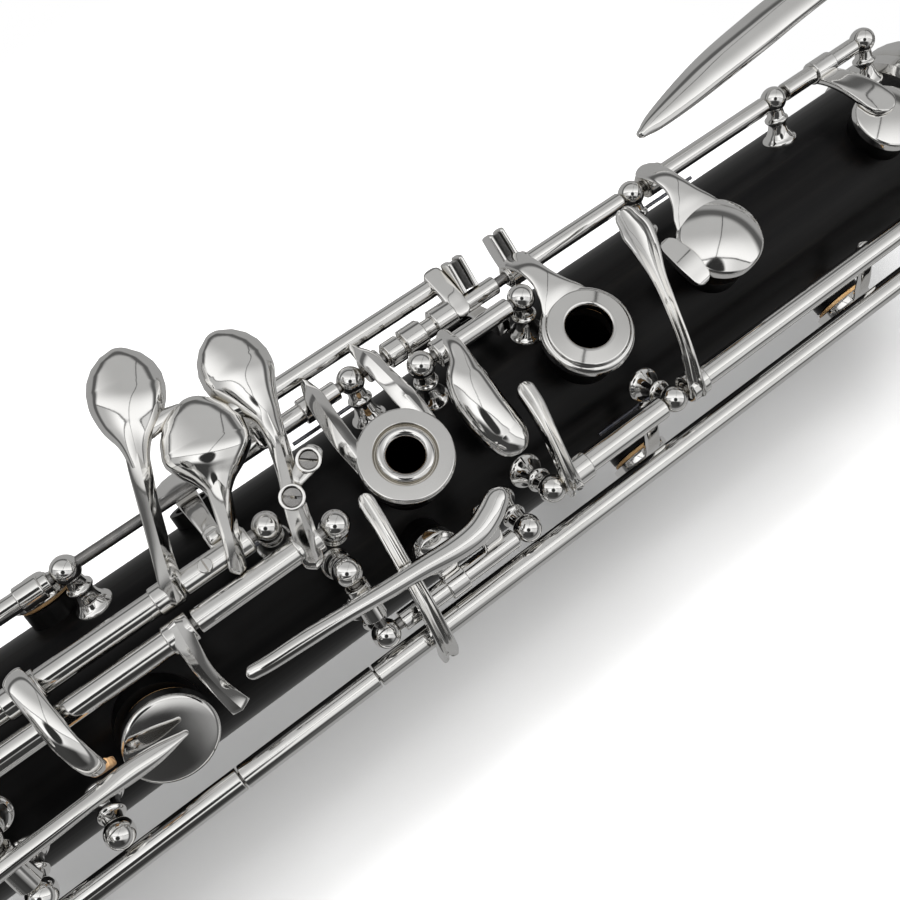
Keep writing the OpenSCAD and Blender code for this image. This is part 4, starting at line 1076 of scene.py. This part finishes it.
def pale_floor():
    corners = [(-FLOOR_HALF, -FLOOR_HALF), (FLOOR_HALF, -FLOOR_HALF), (FLOOR_HALF, FLOOR_HALF),
               (-FLOOR_HALF, FLOOR_HALF)]
    slab = Build()
    slab.skin([[Vector((x, y, z)) for x, y in corners] for z in (0, -FLOOR_THICKNESS)])
    slab.bm.transform(Matrix.Scale(MM, 4))
    mesh = bpy.data.meshes.new("floor")
    slab.bm.to_mesh(mesh)
    slab.bm.free()
    mesh.materials.append(floor_paint())
    plane = bpy.data.objects.new("floor", mesh)
    bpy.context.scene.collection.objects.link(plane)
    plane.visible_glossy = False


def card_paper():
    """White, with a painted shadow that greys it behind the body, fading to nothing at the edges, and clear
    from behind.
    """
    n = Nodes("white_card")
    sideways = n.add("ShaderNodeSeparateXYZ")
    n.link(n.coords, sideways.inputs[0])
    # painted shadow: the card's colour goes grey just behind the body's +X edge and turns back to white
    # further out towards +X
    place = n.spread(sideways.outputs["X"], -0.04, 0.08)
    painted_shadow_greys = ((0.08, 0.93), (0.25, 0.36), (0.42, 0.4), (0.56, 0.68), (0.74, 0.93))
    painted_shadow_grey = n.ramp(place, [(at, (value,) * 3) for at, value in painted_shadow_greys])
    n.set(Base_Color=painted_shadow_grey, Roughness=0.9, Specular_IOR_Level=0.0)
    from_middle = n.add("ShaderNodeVectorMath", operation="LENGTH")
    n.link(n.coords, from_middle.inputs[0])
    fade = n.spread(from_middle.outputs["Value"], *CARD_FADE, kind="SMOOTHSTEP")
    side = n.add("ShaderNodeNewGeometry")
    hide = n.add("ShaderNodeMath", operation="MAXIMUM")
    n.link(fade, hide.inputs[0])
    n.link(side.outputs["Backfacing"], hide.inputs[1])
    clear = n.add("ShaderNodeBsdfTransparent")
    blend = n.add("ShaderNodeMixShader")
    n.link(hide.outputs[0], blend.inputs[0])
    n.link(n.bsdf.outputs[0], blend.inputs[1])
    n.link(clear.outputs[0], blend.inputs[2])
    n.link(blend.outputs[0], n.tree.nodes["Material Output"].inputs["Surface"])
    return n.mat


def white_card():
    """A soft-edged card behind the keys that takes their shadow, and has a shadow painted on it beside the
    body as well.
    """
    h = CARD_HALF
    mesh = bpy.data.meshes.new("card")
    mesh.from_pydata([(-h, 0, -h), (h, 0, -h), (h, 0, h), (-h, 0, h)], [], [(0, 1, 2, 3)])
    mesh.materials.append(card_paper())
    card = bpy.data.objects.new("card", mesh)
    card.location = CARD_AT
    bpy.context.scene.collection.objects.link(card)
    card.visible_glossy = False


def studio_lights():
    softbox("key_light", (-0.75, -0.85, 0.75), LIT_POINT, (0.6, 0.6), 17)
    softbox("top_light", (-0.1, -0.8, 1.2), LIT_POINT, (0.9, 0.5), 7)
    softbox("rear_light", (0.2, 1.1, 1.0), LIT_POINT, (1.0, 1.0), 6)


def softbox(name, at, look, size, power):
    """A soft light that metal doesn't mirror; the world holds what metal mirrors."""
    light = bpy.data.lights.new(name, "AREA")
    light.shape = "RECTANGLE"
    light.size, light.size_y = size
    light.energy = power
    lamp = bpy.data.objects.new(name, light)
    lamp.location = at
    lamp.rotation_euler = (Vector(look) - Vector(at)).to_track_quat("-Z", "Y").to_euler()
    lamp.visible_glossy = False
    bpy.context.scene.collection.objects.link(lamp)


def view_axes():
    """Forward, right and up of the camera."""
    forward = Vector((0, math.cos(CAMERA_LIFT), math.sin(CAMERA_LIFT)))
    level_up = Vector((0, -math.sin(CAMERA_LIFT), math.cos(CAMERA_LIFT)))
    level_right = Vector((1, 0, 0))
    right = level_up * math.cos(CAMERA_ROLL) + level_right * math.sin(CAMERA_ROLL)
    up = level_up * math.sin(CAMERA_ROLL) - level_right * math.cos(CAMERA_ROLL)
    return forward, right, up


class Tent(Tree):
    """The inside of a light tent, as brightness by direction."""

    def __init__(self, tree):
        super().__init__(tree)
        self.way = self.add("ShaderNodeTexCoord").outputs["Generated"]

    def toward(self, axis):
        node = self.add("ShaderNodeVectorMath", operation="DOT_PRODUCT")
        self.link(self.way, node.inputs[0])
        node.inputs[1].default_value = axis
        return node.outputs["Value"]

    def math(self, kind, a, b=0.0):
        node = self.add("ShaderNodeMath", operation=kind)
        self.feed(node.inputs[0], a)
        self.feed(node.inputs[1], b)
        return node.outputs[0]

    def step(self, value, low, high, start=0.0, end=1.0):
        return self.spread(value, low, high, start, end, "SMOOTHSTEP")

    def seam(self, value, at, width, dark):
        """One everywhere but on a thin line, where it is dark."""
        distance = self.math("ABSOLUTE", self.math("SUBTRACT", value, at))
        return self.step(distance, width * 0.3, width, dark, 1.0)


def tent_cloth(tent):
    """Grey cloth above, white cloth below that ends in the dark room, and seams between the cloths."""
    forward, right, up = view_axes()
    rise, across_way, front = tent.toward(up), tent.toward(right), tent.toward(-forward)
    above = tent.step(rise, 0.08, 0.7, 1.05, 0.46)
    dark = tent.step(across_way, 0.5, 0.8, 0.05, 0.5)
    below = tent.step(rise, -0.52, -0.32, dark, 1.15)
    below = tent.math("MULTIPLY", below, tent.step(across_way, 0.0, 0.7, 1.0, 0.6))
    below = tent.math("MULTIPLY", below, tent.step(across_way, -0.9, -0.3, 0.42, 1.0))
    cloth = tent.step(rise, 0.0, 0.05, below, above)
    cloth = tent.math("MULTIPLY", cloth, tent.seam(rise, 0.03, 0.022, 0.1))
    lean = tent.toward(right - up * 0.25)
    upright = tent.math("MAXIMUM", tent.seam(lean, 0.05, 0.02, 0.12), tent.step(rise, 0.0, 0.04, 1.0, 0.0))
    cloth = tent.math("MULTIPLY", cloth, upright)
    # the camera's dark opening, the dark gap over the table, and the dim room behind
    lens = tent.toward((-forward - up * 0.22 + right * 0.06).normalized())
    cloth = tent.step(lens, 0.955, 0.975, cloth, 0.03)
    cloth = tent.step(front, 0.12, 0.3, 0.1, cloth)
    return tent.step(front, -0.12, 0.02, 0.34, cloth)


def glow(tree, color, strength):
    """A background of one color; strength is a number or a socket."""
    node = tree.add("ShaderNodeBackground")
    node.inputs["Color"].default_value = (*color, 1)
    tree.feed(node.inputs["Strength"], strength)
    return node


def studio_world():
    """White to the camera, the tent's pattern to what mirrors it, and an even light to all else."""
    world = bpy.data.worlds.new("studio")
    world.use_nodes = True
    world.node_tree.nodes.clear()
    tent = Tent(world.node_tree)
    warm = (1, 0.995, 0.985)
    mirrored = glow(tent, warm, tent_cloth(tent))
    white = glow(tent, (1, 1, 1), 1.0)
    shown = glow(tent, warm, 0.62)
    ray = tent.add("ShaderNodeLightPath")
    for kind, other in (("Is Glossy Ray", mirrored), ("Is Camera Ray", white)):
        choice = tent.add("ShaderNodeMixShader")
        for socket, source in enumerate((ray.outputs[kind], shown.outputs[0], other.outputs[0])):
            tent.link(source, choice.inputs[socket])
        shown = choice
    out = tent.add("ShaderNodeOutputWorld")
    tent.link(shown.outputs[0], out.inputs["Surface"])
    scene = bpy.context.scene
    scene.world = world
    scene.view_settings.view_transform = "Standard"


def photo_camera():
    forward, right, up = view_axes()
    data = bpy.data.cameras.new("camera")
    data.lens = CAMERA_LENS
    data.sensor_width = CAMERA_SENSOR
    data.clip_start = 0.005
    camera = bpy.data.objects.new("camera", data)
    o = Vector(CAMERA_AT)
    camera.matrix_world = Matrix(((right.x, up.x, -forward.x, o.x), (right.y, up.y, -forward.y, o.y),
                                  (right.z, up.z, -forward.z, o.z), (0, 0, 0, 1)))
    bpy.context.scene.collection.objects.link(camera)
    bpy.context.scene.camera = camera


dress_cad_nodes()
for make in (rh1, rh2, rh3, bridge, sliver, low_e, g_sharp, f_sharp, low_f, long_touch, rocker, side_cup,
             upper_cup, cross_lever, tall_lever, trill, long_rod, left_levers, side_keys, left_hand,
             throat_keys, posts, bell_piece, pale_floor, white_card, studio_lights, studio_world,
             photo_camera):
    make()
